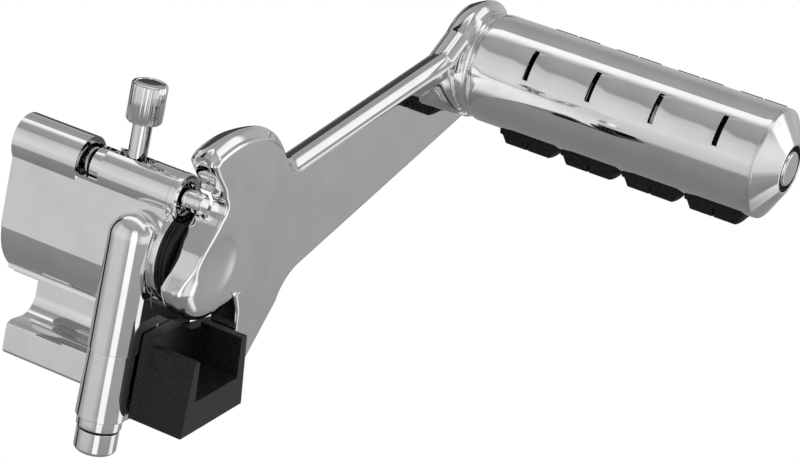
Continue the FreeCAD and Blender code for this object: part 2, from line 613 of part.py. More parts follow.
# Pivot bolt with its shoulder through the washer, the bush on it and the dished cap.
pivot = new_body("pivot_bolt")
bush_front = arm_back + s("bush_len")
head_front = bush_front + s("pivot_head_len")
turn(pivot, "bolt", "XY", [
    (s("end_x") - s("pivot_depth"), 0), (s("end_x") - s("pivot_depth"), s("pivot_rad") - 1),
    (s("end_x") - s("pivot_depth") + 1, s("pivot_rad")), (s("end_x"), s("pivot_rad")),
    (s("end_x"), s("pivot_rad") + 1), (bush_front, s("pivot_rad") + 1),
    (bush_front, s("pivot_head")), (head_front, s("pivot_head")), (head_front, 0),
], 0, "H_Axis")
place(pivot)
bush = new_body("pivot_bushing")
turn(bush, "bush", "XY", [
    (washer_x, s("pivot_rad") + 1 + s("run_play")), (washer_x, s("bush_rad")),
    (bush_front, s("bush_rad")), (bush_front, s("pivot_rad") + 1 + s("run_play")),
], 0, "H_Axis")
place(bush)

# Arm: hub with the locking lobe and the stop tail, a flat web and the eye for the peg.
arm = new_body("peg_arm")
lock_turn = s("pin_turn") - s("cradle_tilt")
lock_y = s("pin_orbit") * cosine(lock_turn)
lock_z = s("pin_orbit") * sine(lock_turn)
lock_rad = s("pin_rad") + s("lock_play")


def wall_face(z):
    """Outer face of the cradle's right wall at a height, plus the stop's gap."""
    slope = s("draft_right") / (s("saddle_bottom") - s("wall_top"))
    return s("wall_out_right") + s("stop_gap") + (z - s("wall_top")) * slope


def around(radius, angle, y=0.0, z=0.0):
    return (y + radius * cosine(angle), z + radius * sine(angle))


tail_foot = wall_face(s("tail_bottom"))
outline = [
    (*around(s("hub_rad"), 195), s("hub_rad")), around(s("hub_rad"), 311),
    (wall_face(s("hub_rad") + 1.7), -(s("hub_rad") + 1.7)),
    (tail_foot, -s("tail_bottom") + 0.8),
    (tail_foot + 0.8, -s("tail_bottom")), (tail_foot + s("tail_width"), -s("tail_bottom") + 0.4),
    (s("heel_y"), -s("heel_z"), -s("heel_radius")), (s("toe_y"), -s("toe_z")),
    (s("belly_y"), s("belly_z")), (s("eye_y") - 7, s("eye_z")),
    (s("eye_y") - 13.6, s("eye_z") + 12), (s("neck_y"), s("neck_z")),
    (s("valley_y"), s("valley_z"), -s("valley_radius")),
    (s("lobe_rear_y"), s("lobe_rear_z"), s("lobe_rear_radius")),
    (s("lobe_top_y"), s("lobe_top_z"), s("lobe_top_radius")),
    (-s("lobe_tip_y") + 2.3, s("lobe_tip_z") + 2.1), (-s("lobe_tip_y"), s("lobe_tip_z")),
    (-s("lobe_tip_y") + 2.7, s("lobe_tip_z") - 4), (lock_y + 1.0, lock_z + 6.0),
    (*around(lock_rad, 50, lock_y, lock_z), -lock_rad),
    around(lock_rad, -60, lock_y, lock_z), (lock_y - 0.3, lock_z - 5.6),
    (lock_y - 7.0, lock_z - 12.4), (lock_y - 11.0, lock_z - 18.5),
]
pad(arm, "web", "YZ", arm_back, s("arm_thick"), outline)
eye = new_sketch(arm, "eye", "YZ", arm_back)
draw_circle(eye, s("eye_y"), s("eye_z"), s("eye_rad"))
extrude(arm, "Pad", eye, s("arm_thick") + s("eye_rise"))
# Scoop in front of the eye, deepest at the peg's collar.
scoop = new_sketch(arm, "scoop", "YZ")
scoop_turn = FreeCAD.Rotation(V(0, 0, 1), -s("scoop_turn").number).multiply(
    FreeCAD.Rotation(V(1, 0, 0), -s("scoop_slope").number))
scoop.AttachmentOffset = FreeCAD.Placement(
    V(s("scoop_y").number, s("scoop_z").number, 0), scoop_turn)
draw_loop(scoop, [(s("scoop_len") * 0.04, -2.0), (s("scoop_len"), -2.0), (s("scoop_len"), 9.0),
                  (s("scoop_len") * 0.66, 15.0), (s("scoop_len") * 0.486, 10.6)])
extrude(arm, "Pocket", scoop, 8.0, True)
hole(arm, "ring_seat", "YZ", -s("collar_depth"), s("collar_depth") + s("eye_rise") + 1, s("eye_y"),
     s("eye_z"), s("ring_rad") + s("run_play"), True)
hole(arm, "rod_hole", "YZ", arm_back - 1, s("arm_thick") + 2, s("eye_y"), s("eye_z"),
     s("rod_rad") + s("rod_play"), True)
hole(arm, "nut_pocket", "YZ", arm_back - 1, s("nut_depth") + 1, s("eye_y"), s("eye_z"),
     s("nut_pocket"), True)
turn(arm, "pivot_seat", "XY", [
    (arm_back - 1, 0), (arm_back - 1, s("bush_rad") + s("run_play")),
    (bush_front, s("bush_rad") + s("run_play")), (bush_front, s("pivot_head") + s("seat_gap")),
    (-s("dish_depth") - s("cap_thick"), s("pivot_head") + s("seat_gap")),
    (-s("dish_depth") - s("cap_thick"), s("cap_rad") + s("run_play")),
    (-s("dish_depth"), s("cap_rad") + s("run_play"), s("dish_radius")), (0.0, s("dish_rad")),
    (1.0, s("dish_rad")),
    (1.0, 0),
], 0, "H_Axis", groove=True)
# Groove behind the lobe in which the tip of the plunger runs while the arm swings.
groove_out = s("pin_orbit") + lock_rad
groove_in = s("pin_orbit") - lock_rad
groove_end = lock_turn - s("arm_swing") - 5
groove_start = lock_turn + 12
pocket(arm, "lock_groove", "YZ", arm_back - 1, s("groove_depth") + 1, [
    (*around(groove_out, groove_end), groove_out), around(groove_out, groove_start),
    (*around(groove_in, groove_start), -groove_in), (*around(groove_in, groove_end), lock_rad * 1.01),
], True)
place(arm, True)

cap = new_body("pivot_cap")
cap_back = -s("dish_depth") - s("cap_thick")
turn(cap, "disc", "XY", [
    (cap_back, 0), (cap_back, s("cap_rad")),
    (cap_back + s("cap_thick"), s("cap_rad"), -s("cap_radius")),
    (cap_back + s("cap_thick") - s("cap_hollow"), 0),
], 0, "H_Axis")
place(cap, True)


def peg_turn(label, points):
    """A turned piece of the peg, round the axis of the eye."""
    body = new_body(label)
    turn(body, "turned", "XY", points, s("eye_y"), "H_Axis", offset=s("eye_z"))
    return place(body, True)


ring_front = s("ring_len") - s("collar_depth")
shell_start = ring_front + s("wave_thick")
shell_end = shell_start + s("shell_len")
rod_hole = s("rod_rad") + s("rod_play")
peg_turn("peg_collar", [
    (-s("collar_depth"), rod_hole), (-s("collar_depth"), s("ring_rad")),
    (ring_front - 0.8, s("ring_rad")), (ring_front, s("ring_rad") - 0.8), (ring_front, rod_hole),
])
peg_turn("wave_washer", [
    (ring_front, s("core_rad")), (ring_front, s("wave_rad")), (shell_start, s("wave_rad")),
    (shell_start, s("core_rad")),
])

# Core bar that carries the rubber and the shell.
peg_turn("peg_core", [
    (ring_front, rod_hole), (ring_front, s("core_rad") - s("run_play")),
    (shell_end, s("core_rad") - s("run_play")), (shell_end, rod_hole),
])


def at_peg(reach, side, angle):
    """A point of the peg's section: reach from the axis and side step at a turn from +Y."""
    return (s("eye_y") + reach * cosine(angle) - side * sine(angle),
            s("eye_z") + reach * sine(angle) + side * cosine(angle))


# Chromed shell: two long openings for the rubber and one slot for each pair of pads.
PAD_COUNT = 4
shell = new_body("peg_shell")
turn(shell, "tube", "XY", [
    (shell_start, s("shell_rad") - s("shell_wall")), (shell_start, s("shell_rad") - 1.2),
    (shell_start + 0.5, s("shell_rad") - 0.3), (shell_start + 1.4, s("shell_rad")),
    (shell_end, s("shell_rad")), (shell_end, s("shell_rad") - s("shell_wall")),
], s("eye_y"), "H_Axis", offset=s("eye_z"))
pads_x = shell_start + s("pad_start")
pads_len = s("shell_len") - s("pad_start") - s("pad_finish")
pad_pitch = pads_len / PAD_COUNT
opening_half = s("pad_half") + s("pad_play")
for name, angle in (("opening_below", s("pad_below")), ("opening_above", s("pad_above"))):
    pocket(shell, name, "YZ", pads_x - s("pad_play"), pads_len + 2 * s("pad_play"), [
        at_peg(s("core_rad"), -opening_half, angle),
        at_peg(s("shell_rad") + 1, -opening_half, angle),
        at_peg(s("shell_rad") + 1, opening_half, angle),
        at_peg(s("core_rad"), opening_half, angle),
    ], True)
before_slot = shell.Shape.Volume
slot_cut = shell.newObject("PartDesign::SubtractiveBox", "peg_shell_slot")
bind(slot_cut, "Length", s("slot_width"))
bind(slot_cut, "Width", s("slot_round"))
bind(slot_cut, "Height", s("shell_wall") * 3)
slot_turn = as_size(s("slot_turn"))
slot_reach = s("shell_rad") - s("shell_wall") * 2
slot_place = (
    pads_x + pad_pitch / 2 - s("slot_width") / 2,
    s("eye_y") - slot_reach * sine(slot_turn) - s("slot_round") / 2 * cosine(slot_turn),
    s("eye_z") + slot_reach * cosine(slot_turn) - s("slot_round") / 2 * sine(slot_turn),
)
slot_cut.Placement = FreeCAD.Placement(V(*(c.number for c in slot_place)),
                                       FreeCAD.Rotation(V(1, 0, 0), slot_turn.number))
for prop, value in zip(("x", "y", "z"), slot_place):
    slot_cut.setExpression(f"Placement.Base.{prop}", value.text)
slot_cut.setExpression("Placement.Rotation.Angle", slot_turn.text)
doc.recompute()
slots = shell.newObject("PartDesign::LinearPattern", "peg_shell_slots")
slots.Originals = [slot_cut]
slots.Direction = ([f for f in shell.Origin.OriginFeatures if f.Role == "X_Axis"][0], [""])
bind(slots, "Length", pad_pitch * (PAD_COUNT - 1))
slots.Occurrences = PAD_COUNT
shell.Tip = slots
doc.recompute()
if shell.Shape.Volume >= before_slot:
    raise ValueError("the slots cut nothing")
place(shell, True)

# Rubber pads on the core: a base strip that fills the opening and a sloping block on it.
seat_rad = s("core_rad") + s("run_play")
seat_reach = root(seat_rad * seat_rad - s("pad_half") * s("pad_half"))
block_rad = s("shell_rad") + s("pad_rise")
block_half = s("pad_half") - s("pad_slope")
block_reach = root(block_rad * block_rad - block_half * block_half)
base_reach = s("shell_rad") * 1.0 - s("pad_base")
for index in range(2 * PAD_COUNT):
    rubber = new_body(f"rubber_pad_{index + 1}")
    angle = s("pad_below") if index < PAD_COUNT else s("pad_above")
    pad_x = pads_x + (index % PAD_COUNT) * pad_pitch
    pad(rubber, "base", "YZ", pad_x + s("run_play"), pad_pitch - 2 * s("run_play"), [
        at_peg(seat_reach, -s("pad_half"), angle), at_peg(base_reach, -s("pad_half"), angle),
        at_peg(base_reach, s("pad_half"), angle),
        (*at_peg(seat_reach, s("pad_half"), angle), -seat_rad),
    ])
    pad(rubber, "block", "YZ", pad_x + s("pad_gap") / 2, pad_pitch - s("pad_gap"), [
        at_peg(base_reach - 1, -s("pad_half"), angle), at_peg(base_reach, -s("pad_half"), angle),
        (*at_peg(block_reach, -block_half, angle), block_rad),
        at_peg(block_reach, block_half, angle), at_peg(base_reach, s("pad_half"), angle),
        at_peg(base_reach - 1, s("pad_half"), angle),
    ])
    place(rubber, True)

# Cone at the free end with a dark ring and the head of the long bolt.
cone_end = shell_end + s("cone_len")
seat_x = cone_end - s("end_seat")
peg_turn("peg_end", [
    (shell_end, rod_hole), (shell_end, s("shell_rad")),
    (shell_end + s("cone_rim"), s("shell_rad")), (cone_end, s("cone_nose")),
    (cone_end, s("end_bore")), (seat_x, s("end_bore")), (seat_x, rod_hole),
])
peg_turn("end_washer", [
    (seat_x, rod_hole), (seat_x, s("end_washer_rad")),
    (seat_x + s("end_washer_len"), s("end_washer_rad")), (seat_x + s("end_washer_len"), rod_hole),
])
rod_seat = seat_x + s("end_washer_len")
rod_end = arm_back + s("washer_gap")
peg_turn("peg_bolt", [
    (rod_end, 0), (rod_end, s("rod_rad")), (rod_seat, s("rod_rad")), (rod_seat, s("rod_head")),
    (rod_seat + s("rod_head_len") - 0.6, s("rod_head")),
    (rod_seat + s("rod_head_len"), s("rod_head") - 0.6), (rod_seat + s("rod_head_len"), 0),
])
nut = new_body("peg_nut")
nut_x = arm_back + s("nut_depth") - s("nut_len")
pad(nut, "hexagon", "YZ", nut_x, s("nut_len"),
    [around(s("nut_rad"), 60 * i, s("eye_y"), s("eye_z")) for i in range(6)])
hole(nut, "thread", "YZ", nut_x - 1, s("nut_len") + 2, s("eye_y"), s("eye_z"),
     s("rod_rad") + s("run_play"), True)
place(nut, True)

doc.recompute()
for obj in doc.Objects:
    if "Invalid" in obj.State or "Error" in obj.State:
        raise ValueError(f"{obj.Label} failed: {obj.State}")
for piece in pieces:
    if piece.Shape.isNull() or not piece.Shape.isValid():
        raise ValueError(f"{piece.Label} has no valid shape")
    piece.Shape.exportStep(f"parts/{piece.Label}.step")
    box = piece.Shape.BoundBox
    print(f"{piece.Label:20s} solids {len(piece.Shape.Solids)} volume {piece.Shape.Volume:10.1f} "
          f"x {box.XMin:7.2f} {box.XMax:7.2f} y {box.YMin:7.2f} {box.YMax:7.2f} "
          f"z {box.ZMin:7.2f} {box.ZMax:7.2f}")
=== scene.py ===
import json
import math

import bmesh
import bpy
import numpy as np
from mathutils import Matrix, Vector
from mathutils.geometry import delaunay_2d_cdt

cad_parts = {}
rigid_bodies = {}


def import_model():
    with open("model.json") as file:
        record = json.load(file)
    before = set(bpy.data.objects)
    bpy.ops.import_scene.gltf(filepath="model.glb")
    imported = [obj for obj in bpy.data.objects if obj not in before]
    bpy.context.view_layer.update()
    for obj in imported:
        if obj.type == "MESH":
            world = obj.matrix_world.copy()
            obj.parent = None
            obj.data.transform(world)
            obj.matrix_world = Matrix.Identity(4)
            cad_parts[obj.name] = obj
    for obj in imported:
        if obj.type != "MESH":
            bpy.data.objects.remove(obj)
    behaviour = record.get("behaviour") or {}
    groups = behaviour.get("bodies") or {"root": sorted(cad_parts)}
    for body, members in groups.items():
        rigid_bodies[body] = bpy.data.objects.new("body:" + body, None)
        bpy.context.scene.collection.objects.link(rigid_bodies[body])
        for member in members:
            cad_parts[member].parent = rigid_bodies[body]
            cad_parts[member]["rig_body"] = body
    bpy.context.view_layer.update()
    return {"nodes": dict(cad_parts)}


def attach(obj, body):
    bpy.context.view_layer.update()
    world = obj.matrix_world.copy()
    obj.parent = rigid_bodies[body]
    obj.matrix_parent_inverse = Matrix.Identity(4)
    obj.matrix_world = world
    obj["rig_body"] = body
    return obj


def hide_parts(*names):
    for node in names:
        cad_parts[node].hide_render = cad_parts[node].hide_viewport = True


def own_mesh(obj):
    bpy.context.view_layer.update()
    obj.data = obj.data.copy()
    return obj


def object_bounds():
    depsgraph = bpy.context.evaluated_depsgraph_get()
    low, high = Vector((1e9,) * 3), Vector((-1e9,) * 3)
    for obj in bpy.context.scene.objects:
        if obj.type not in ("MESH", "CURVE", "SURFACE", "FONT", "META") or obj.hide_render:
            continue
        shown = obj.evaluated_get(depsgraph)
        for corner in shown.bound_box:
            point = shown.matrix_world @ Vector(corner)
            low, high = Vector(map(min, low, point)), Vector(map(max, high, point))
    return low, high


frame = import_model()

# Clamp housing. A zinc casting with a bright chrome plate: the barrel for the plunger, the flat
# front with its crease and lip, and the leg for the clamp bolt are one piece. It grips the tube.
def shader_tree(name):
    """A new material with its tree, its shader and an Object coordinate to hang patterns on."""
    material = bpy.data.materials.new(name)
    material.use_nodes = True
    tree = material.node_tree
    place = tree.nodes.new("ShaderNodeTexCoord").outputs["Object"]
    return material, tree, tree.nodes["Principled BSDF"], place


def grain(tree, place, scale, detail):
    """A noise pattern over the surface, its scale counted per metre."""
    noise = tree.nodes.new("ShaderNodeTexNoise")
    noise.inputs["Scale"].default_value = scale
    noise.inputs["Detail"].default_value = detail
    tree.links.new(place, noise.inputs["Vector"])
    return noise.outputs["Fac"]


def spread(tree, value, low, high):
    """Map the middle of a pattern's values to the range between two numbers."""
    scale = tree.nodes.new("ShaderNodeMapRange")
    for socket, number in (("From Min", 0.3), ("From Max", 0.7), ("To Min", low), ("To Max", high)):
        scale.inputs[socket].default_value = number
    tree.links.new(value, scale.inputs["Value"])
    return scale.outputs["Result"]


def tint(tree, value, dark, light):
    """Blend from a dark to a light colour over the middle of a pattern's values."""
    ramp = tree.nodes.new("ShaderNodeValToRGB")
    for element, position, colour in zip(ramp.color_ramp.elements, (0.35, 0.65), (dark, light)):
        element.position = position
        element.color = (*colour, 1.0)
    tree.links.new(value, ramp.inputs["Fac"])
    return ramp.outputs["Color"]


def relief(tree, shader, value, strength, depth):
    """Raise and sink the surface a little with a pattern."""
    bump = tree.nodes.new("ShaderNodeBump")
    bump.inputs["Strength"].default_value = strength
    bump.inputs["Distance"].default_value = depth
    tree.links.new(value, bump.inputs["Height"])
    tree.links.new(bump.outputs["Normal"], shader.inputs["Normal"])


chrome, tree, shader, place = shader_tree("chrome_plate")
shader.inputs["Metallic"].default_value = 1.0
waves = grain(tree, place, 90.0, 2.0)
haze = grain(tree, place, 700.0, 5.0)
tree.links.new(tint(tree, waves, (0.80, 0.81, 0.82), (0.86, 0.865, 0.87)),
               shader.inputs["Base Color"])
tree.links.new(spread(tree, haze, 0.02, 0.055), shader.inputs["Roughness"])
relief(tree, shader, waves, 0.05, 0.0002)


def made(name, work):
    """A new object from a mesh in the making."""
    mesh = bpy.data.meshes.new(name)
    work.to_mesh(mesh)
    work.free()
    piece = bpy.data.objects.new(name, mesh)
    bpy.context.scene.collection.objects.link(piece)
    return piece


def settled(piece):
    """Turn what a piece's modifiers make of it into its plain mesh."""
    mesh = bpy.data.meshes.new_from_object(piece.evaluated_get(
        bpy.context.evaluated_depsgraph_get()))
    piece.modifiers.clear()
    piece.data = mesh


def seated(piece, node):
    """Put a piece in a node's place, on the same body."""
    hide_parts(node)
    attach(piece, frame["nodes"][node]["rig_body"])


def bevelled(piece, width, segments, angle):
    """Round the edges that turn by more than an angle in degrees."""
    bevel = piece.modifiers.new("edges", "BEVEL")
    bevel.width = width
    bevel.segments = segments
    bevel.limit_method = "ANGLE"
    bevel.angle_limit = math.radians(angle)
    return bevel


def rounded(node, material, width, segments=3):
    """A welded copy of a cast or turned piece with rounded edges and smooth curved faces."""
    work = bmesh.new()
    work.from_mesh(frame["nodes"][node].data)
    bmesh.ops.remove_doubles(work, verts=work.verts, dist=2e-6)
    bmesh.ops.dissolve_limit(work, angle_limit=math.radians(0.6), verts=work.verts,
                             edges=work.edges, delimit=set())
    piece = made(f"{node}_skin", work)
    for face in piece.data.polygons:
        face.use_smooth = True
    piece.data.materials.clear()
    piece.data.materials.append(material)
    if width:
        bevel = bevelled(piece, width, segments, 35.0)
        bevel.use_clamp_overlap = True
        bevel.harden_normals = True
        bevel.miter_outer = "MITER_ARC"
    flat = piece.modifiers.new("flat_faces", "WEIGHTED_NORMAL")
    flat.mode = "FACE_AREA"
    flat.weight = 100
    flat.keep_sharp = True
    settled(piece)
    seated(piece, node)
    return piece


casting_edge = 0.0008
rounded("clamp_housing", chrome, casting_edge)

# Barrel nose and ring seat. Two short raised rings on the end of the housing that faces the arm,
# plated with it: one stands round the pin's hole, and the black friction ring bears on the other.
def softened(corners, radius, steps=4):
    """Round the corners of a profile of places and radii; those on the axis stay sharp."""
    found = []
    for index, spot in enumerate(corners):
        before, after = Vector(corners[index - 1]), Vector(corners[(index + 1) % len(corners)])
        here = Vector(spot)
        if spot[1] <= 0.0:
            found.append(spot)
            continue
        inwards, outwards = (before - here), (after - here)
        cut = min(radius, inwards.length * 0.4, outwards.length * 0.4)
        first, last = here + inwards.normalized() * cut, here + outwards.normalized() * cut
        for step in range(steps + 1):
            share = step / steps
            spot_now = first.lerp(here, share).lerp(here.lerp(last, share), share)
            found.append((spot_now.x, spot_now.y))
    return found


def lathed(name, profile, place, count=128):
    """A turned piece from pairs of place and radius, in millimetres along the local X axis."""
    work = bmesh.new()
    rings = []
    for along, radius in profile:
        if radius <= 0.0:
            rings.append([work.verts.new((along, 0.0, 0.0))])
            continue
        rings.append([work.verts.new((along, radius * math.cos(a), radius * math.sin(a)))
                      for a in (2 * math.pi * step / count for step in range(count))])
    for lower, upper in zip(rings, rings[1:] + rings[:1]):
        if len(lower) == 1 and len(upper) == 1:
            continue
        for step in range(count):
            after = (step + 1) % count
            corners = [lower[step % len(lower)], lower[after % len(lower)],
                       upper[after % len(upper)], upper[step % len(upper)]]
            work.faces.new(list(dict.fromkeys(corners)))
    bmesh.ops.recalc_face_normals(work, faces=work.faces)
    piece = made(name, work)
    piece.data.transform(place)
    return piece


millimetre = 0.001
hub = Vector((0.0495, -0.006, 0.025))
upright = Matrix.Translation(hub) @ Matrix.Scale(millimetre, 4)
pin_spot = Vector((-4.644, 17.789))
pin_axis = upright @ Matrix.Translation((0.0, *pin_spot))
ring_foot, nose_radius = -14.6, 7.3
for name, inner, outer, end, axis in (("barrel_nose", 4.9, nose_radius, -11.8, pin_axis),
                                      ("ring_seat", 7.0, 15.0, -12.5, upright)):
    corners = [(ring_foot, inner), (ring_foot, outer), (end, outer), (end, inner)]
    boss = lathed(name, softened(corners, 0.7, 6), axis)
    boss.data.shade_smooth()
    boss.data.set_sharp_from_angle(angle=math.radians(50))
    boss.data.materials.append(chrome)
    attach(boss, frame["nodes"]["clamp_housing"]["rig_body"])

# Plug, plunger and knob. Turned steel with chrome plate: the plug closes the barrel's left end,
# the pin slides in the barrel and locks the arm, and the stem screwed into it comes out through
# the slot with the fluted knob on its end.
def finished(piece, node, material, sharp=30.0):
    """Settle a piece, shade it smooth between its sharp edges and put it in its node's place."""
    settled(piece)
    piece.data.shade_smooth()
    piece.data.set_sharp_from_angle(angle=math.radians(sharp))
    piece.data.materials.clear()
    piece.data.materials.append(material)
    seated(piece, node)


turned_edge = 0.0003
rounded("barrel_plug", chrome, turned_edge, 2)
tail_end, collar_back, collar_front, pin_tip = -49.9, -42.9, -38.8, -5.6
tail_radius, collar_radius, pin_radius, tip_radius, ring_mark = 2.6, 5.4, 3.2, 2.5, 2.85
pin = softened([(tail_end, 0.0), (tail_end, tail_radius), (collar_back, tail_radius),
                (collar_back, collar_radius), (collar_front, collar_radius),
                (collar_front, pin_radius), (-8.2, pin_radius), (-8.0, ring_mark),
                (-7.6, ring_mark), (-7.4, pin_radius), (-6.3, pin_radius), (pin_tip, tip_radius),
                (pin_tip, 0.0)], 0.2)
finished(lathed("lock_pin", pin, pin_axis), "plunger_pin", chrome, 50.0)
stem_spot = -30.8
stem_axis = (upright @ Matrix.Translation((stem_spot, pin_spot.x, 0.0))
             @ Matrix.Rotation(math.radians(-90), 4, "Y"))
stem_foot, shoulder, knob_seat, stem_top = 16.4, 21.04, 34.99, 40.9
stem_radius, shoulder_radius = 1.6, 2.9
stem = softened([(stem_foot, 0.0), (stem_foot, stem_radius), (shoulder, stem_radius),
                 (shoulder, shoulder_radius), (knob_seat, shoulder_radius),
                 (knob_seat, stem_radius), (stem_top, stem_radius), (stem_top, 0.0)], 0.15)
finished(lathed("pull_stem", stem, stem_axis), "knob_stem", chrome, 50.0)


def repeated(piece, name, finish, count, pitch=0.0, turn=0.0, weld=0.002):
    """Repeat a piece along its X axis or round it, by a Geometry Nodes tree; then plain mesh."""
    group = bpy.data.node_groups.new(name, "GeometryNodeTree")
    inputs = {}
    for label, kind in (("Piece", "NodeSocketGeometry"), ("Count", "NodeSocketInt"),
                        ("Pitch", "NodeSocketFloat"), ("Turn", "NodeSocketFloat"),
                        ("Weld", "NodeSocketFloat"), ("Finish", "NodeSocketMaterial")):
        socket = group.interface.new_socket(label, in_out="INPUT", socket_type=kind)
        inputs[label] = socket.identifier
    group.interface.new_socket("Piece", in_out="OUTPUT", socket_type="NodeSocketGeometry")
    source = group.nodes.new("NodeGroupInput").outputs
    spots = group.nodes.new("GeometryNodePoints")
    number = group.nodes.new("GeometryNodeInputIndex").outputs["Index"]
    group.links.new(source["Count"], spots.inputs["Count"])
    shift, angle = (group.nodes.new("ShaderNodeMath") for _ in range(2))
    place_x, around_x = (group.nodes.new("ShaderNodeCombineXYZ") for _ in range(2))
    for node, factor, vector in ((shift, "Pitch", place_x), (angle, "Turn", around_x)):
        node.operation = "MULTIPLY"
        group.links.new(number, node.inputs[0])
        group.links.new(source[factor], node.inputs[1])
        group.links.new(node.outputs["Value"], vector.inputs["X"])
    group.links.new(place_x.outputs["Vector"], spots.inputs["Position"])
    copies = group.nodes.new("GeometryNodeInstanceOnPoints")
    group.links.new(spots.outputs["Points"], copies.inputs["Points"])
    group.links.new(source["Piece"], copies.inputs["Instance"])
    group.links.new(around_x.outputs["Vector"], copies.inputs["Rotation"])
    real = group.nodes.new("GeometryNodeRealizeInstances")
    group.links.new(copies.outputs["Instances"], real.inputs["Geometry"])
    joined = group.nodes.new("GeometryNodeMergeByDistance")
    group.links.new(real.outputs["Geometry"], joined.inputs["Geometry"])
    group.links.new(source["Weld"], joined.inputs["Distance"])
    coated = group.nodes.new("GeometryNodeSetMaterial")
    group.links.new(joined.outputs["Geometry"], coated.inputs["Geometry"])
    group.links.new(source["Finish"], coated.inputs["Material"])
    group.links.new(coated.outputs["Geometry"], group.nodes.new("NodeGroupOutput").inputs[0])
    modifier = piece.modifiers.new(name, "NODES")
    modifier.node_group = group
    for label, value in (("Count", count), ("Pitch", pitch), ("Turn", turn), ("Weld", weld),
                         ("Finish", finish)):
        modifier[inputs[label]] = value
    settled(piece)


flutes, flute_columns, flute_depth, flute_half = 20, 16, 0.11, 0.09
knob_bore, bore_end, knob_top = 1.65, 41.09, 47.04
knob_rows = [(bore_end, knob_bore, 0.0), (knob_seat, knob_bore, 0.0), (knob_seat, 4.3, 0.0),
             (35.1, 4.7, 0.3), (35.5, 5.1, 0.7), (35.9, 5.4, 1.0), (46.2, 5.4, 1.0),
             (46.6, 5.3, 0.8), (46.95, 5.0, 0.4), (47.15, 4.6, 0.0), (47.19, 4.3, 0.0),
             (47.12, 4.05, 0.0), (46.85, 3.95, 0.0), (46.85, 3.8, 0.0), (47.0, 3.7, 0.0),
             (47.03, 3.4, 0.0), (knob_top, 2.0, 0.0)]
work = bmesh.new()
strip = []
for along, radius, share in knob_rows:
    row = []
    for column in range(flute_columns + 1):
        angle = 2 * math.pi / flutes * (column / flute_columns - 0.5)
        wave = 1.0 + math.cos(math.pi * min(1.0, abs(angle) / flute_half))
        reach = radius - flute_depth * share * wave / 2
        row.append(work.verts.new((along, reach * math.cos(angle), reach * math.sin(angle))))
    strip.append(row)
top = work.verts.new((knob_top, 0.0, 0.0))
inside = work.verts.new((bore_end, 0.0, 0.0))
for column in range(flute_columns):
    for lower, upper in zip(strip[:-1], strip[1:]):
        work.faces.new((lower[column], lower[column + 1], upper[column + 1], upper[column]))
    work.faces.new((strip[-1][column], strip[-1][column + 1], top))
    work.faces.new((strip[0][column + 1], strip[0][column], inside))
bmesh.ops.recalc_face_normals(work, faces=work.faces)
grip = made("fluted_knob", work)
repeated(grip, "knob_flutes", chrome, flutes, turn=2 * math.pi / flutes)
work = bmesh.new()
work.from_mesh(grip.data)
bmesh.ops.recalc_face_normals(work, faces=work.faces)
work.to_mesh(grip.data)
work.free()
grip.data.transform(stem_axis)
finished(grip, "knob", chrome, 40.0)

# Steel inside. The bracket's two screws, the pivot's shoulder bolt and bush, the peg's core bar
# and its nut are zinc plated, and so is the plunger's coil spring. The spring gets a mesh of its
# own, but nothing closes its turns up against the pin's collar when the pin is pulled back.
def coated(name, scale, detail, dark, light, smooth, rough):
    """A material whose colour and roughness follow one noise pattern."""
    material, tree, shader, place = shader_tree(name)
    pattern = grain(tree, place, scale, detail)
    tree.links.new(tint(tree, pattern, dark, light), shader.inputs["Base Color"])
    tree.links.new(spread(tree, pattern, smooth, rough), shader.inputs["Roughness"])
    return material, tree, shader, pattern


zinc, _, shader, _ = coated("zinc_steel", 300.0, 4.0, (0.52, 0.52, 0.53), (0.66, 0.66, 0.66),
                            0.22, 0.4)
shader.inputs["Metallic"].default_value = 1.0
for name in ("bracket_screw_1", "bracket_screw_2", "pivot_bolt", "pivot_bushing", "peg_core",
             "peg_nut"):
    rounded(name, zinc, 0.0)
spring = rounded("plunger_spring", zinc, 0.0)
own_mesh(spring)

# Lower jaw with its sleeve and bolt. A chromed casting with a foot under the tube, and two turned
# pieces: the bolt draws the jaw up the housing's leg, and the sleeve sits between boss and head.
rounded("lower_jaw", chrome, 0.0006)
for name in ("bolt_sleeve", "clamp_bolt"):
    rounded(name, chrome, turned_edge, 2)

# Saddle bracket. A cast block with a cradle for the tube, coated in grainy black and held under
# the housing by two screws.
casting, tree, shader, grit = coated("black_casting", 1500.0, 6.0, (0.003, 0.003, 0.003),
                                     (0.012, 0.012, 0.012), 0.28, 0.5)
shader.inputs["Specular IOR Level"].default_value = 0.28
relief(tree, shader, grit, 0.4, 0.0002)
rounded("saddle_bracket", casting, casting_edge)

# Friction ring. Moulded black plastic with two grooves round its rim, held between the housing
# and the arm. A way is cut through it for the barrel's nose and the pin.
plastic, _, shader, _ = coated("black_plastic", 500.0, 3.0, (0.004, 0.004, 0.004),
                               (0.008, 0.008, 0.008), 0.25, 0.38)
shader.inputs["Specular IOR Level"].default_value = 0.3
washer_back, washer_front, washer_chamfer = -12.6, -9.4, 0.1
washer_bore, washer_rim, washer_groove = 6.05, 14.0, 13.6
corners = [(washer_back, washer_bore), (washer_back, washer_rim - washer_chamfer),
           (washer_back + washer_chamfer, washer_rim)]
for start in (-11.9, -10.7):
    corners += [(start, washer_rim), (start + 0.1, washer_groove), (start + 0.5, washer_groove),
                (start + 0.6, washer_rim)]
corners += [(washer_front - washer_chamfer, washer_rim),
            (washer_front, washer_rim - washer_chamfer), (washer_front, washer_bore)]
washer = lathed("grooved_washer", softened(corners, 0.08), Matrix.Identity(4), 192)
way_back, way_front, way_radius = -16.0, -8.0, nose_radius + 0.1
way = lathed("pin_way", [(way_back, 0.0), (way_back, way_radius), (way_front, way_radius),
                         (way_front, 0.0)], Matrix.Translation((0.0, *pin_spot)))
cut = washer.modifiers.new("pin_way", "BOOLEAN")
cut.object = way
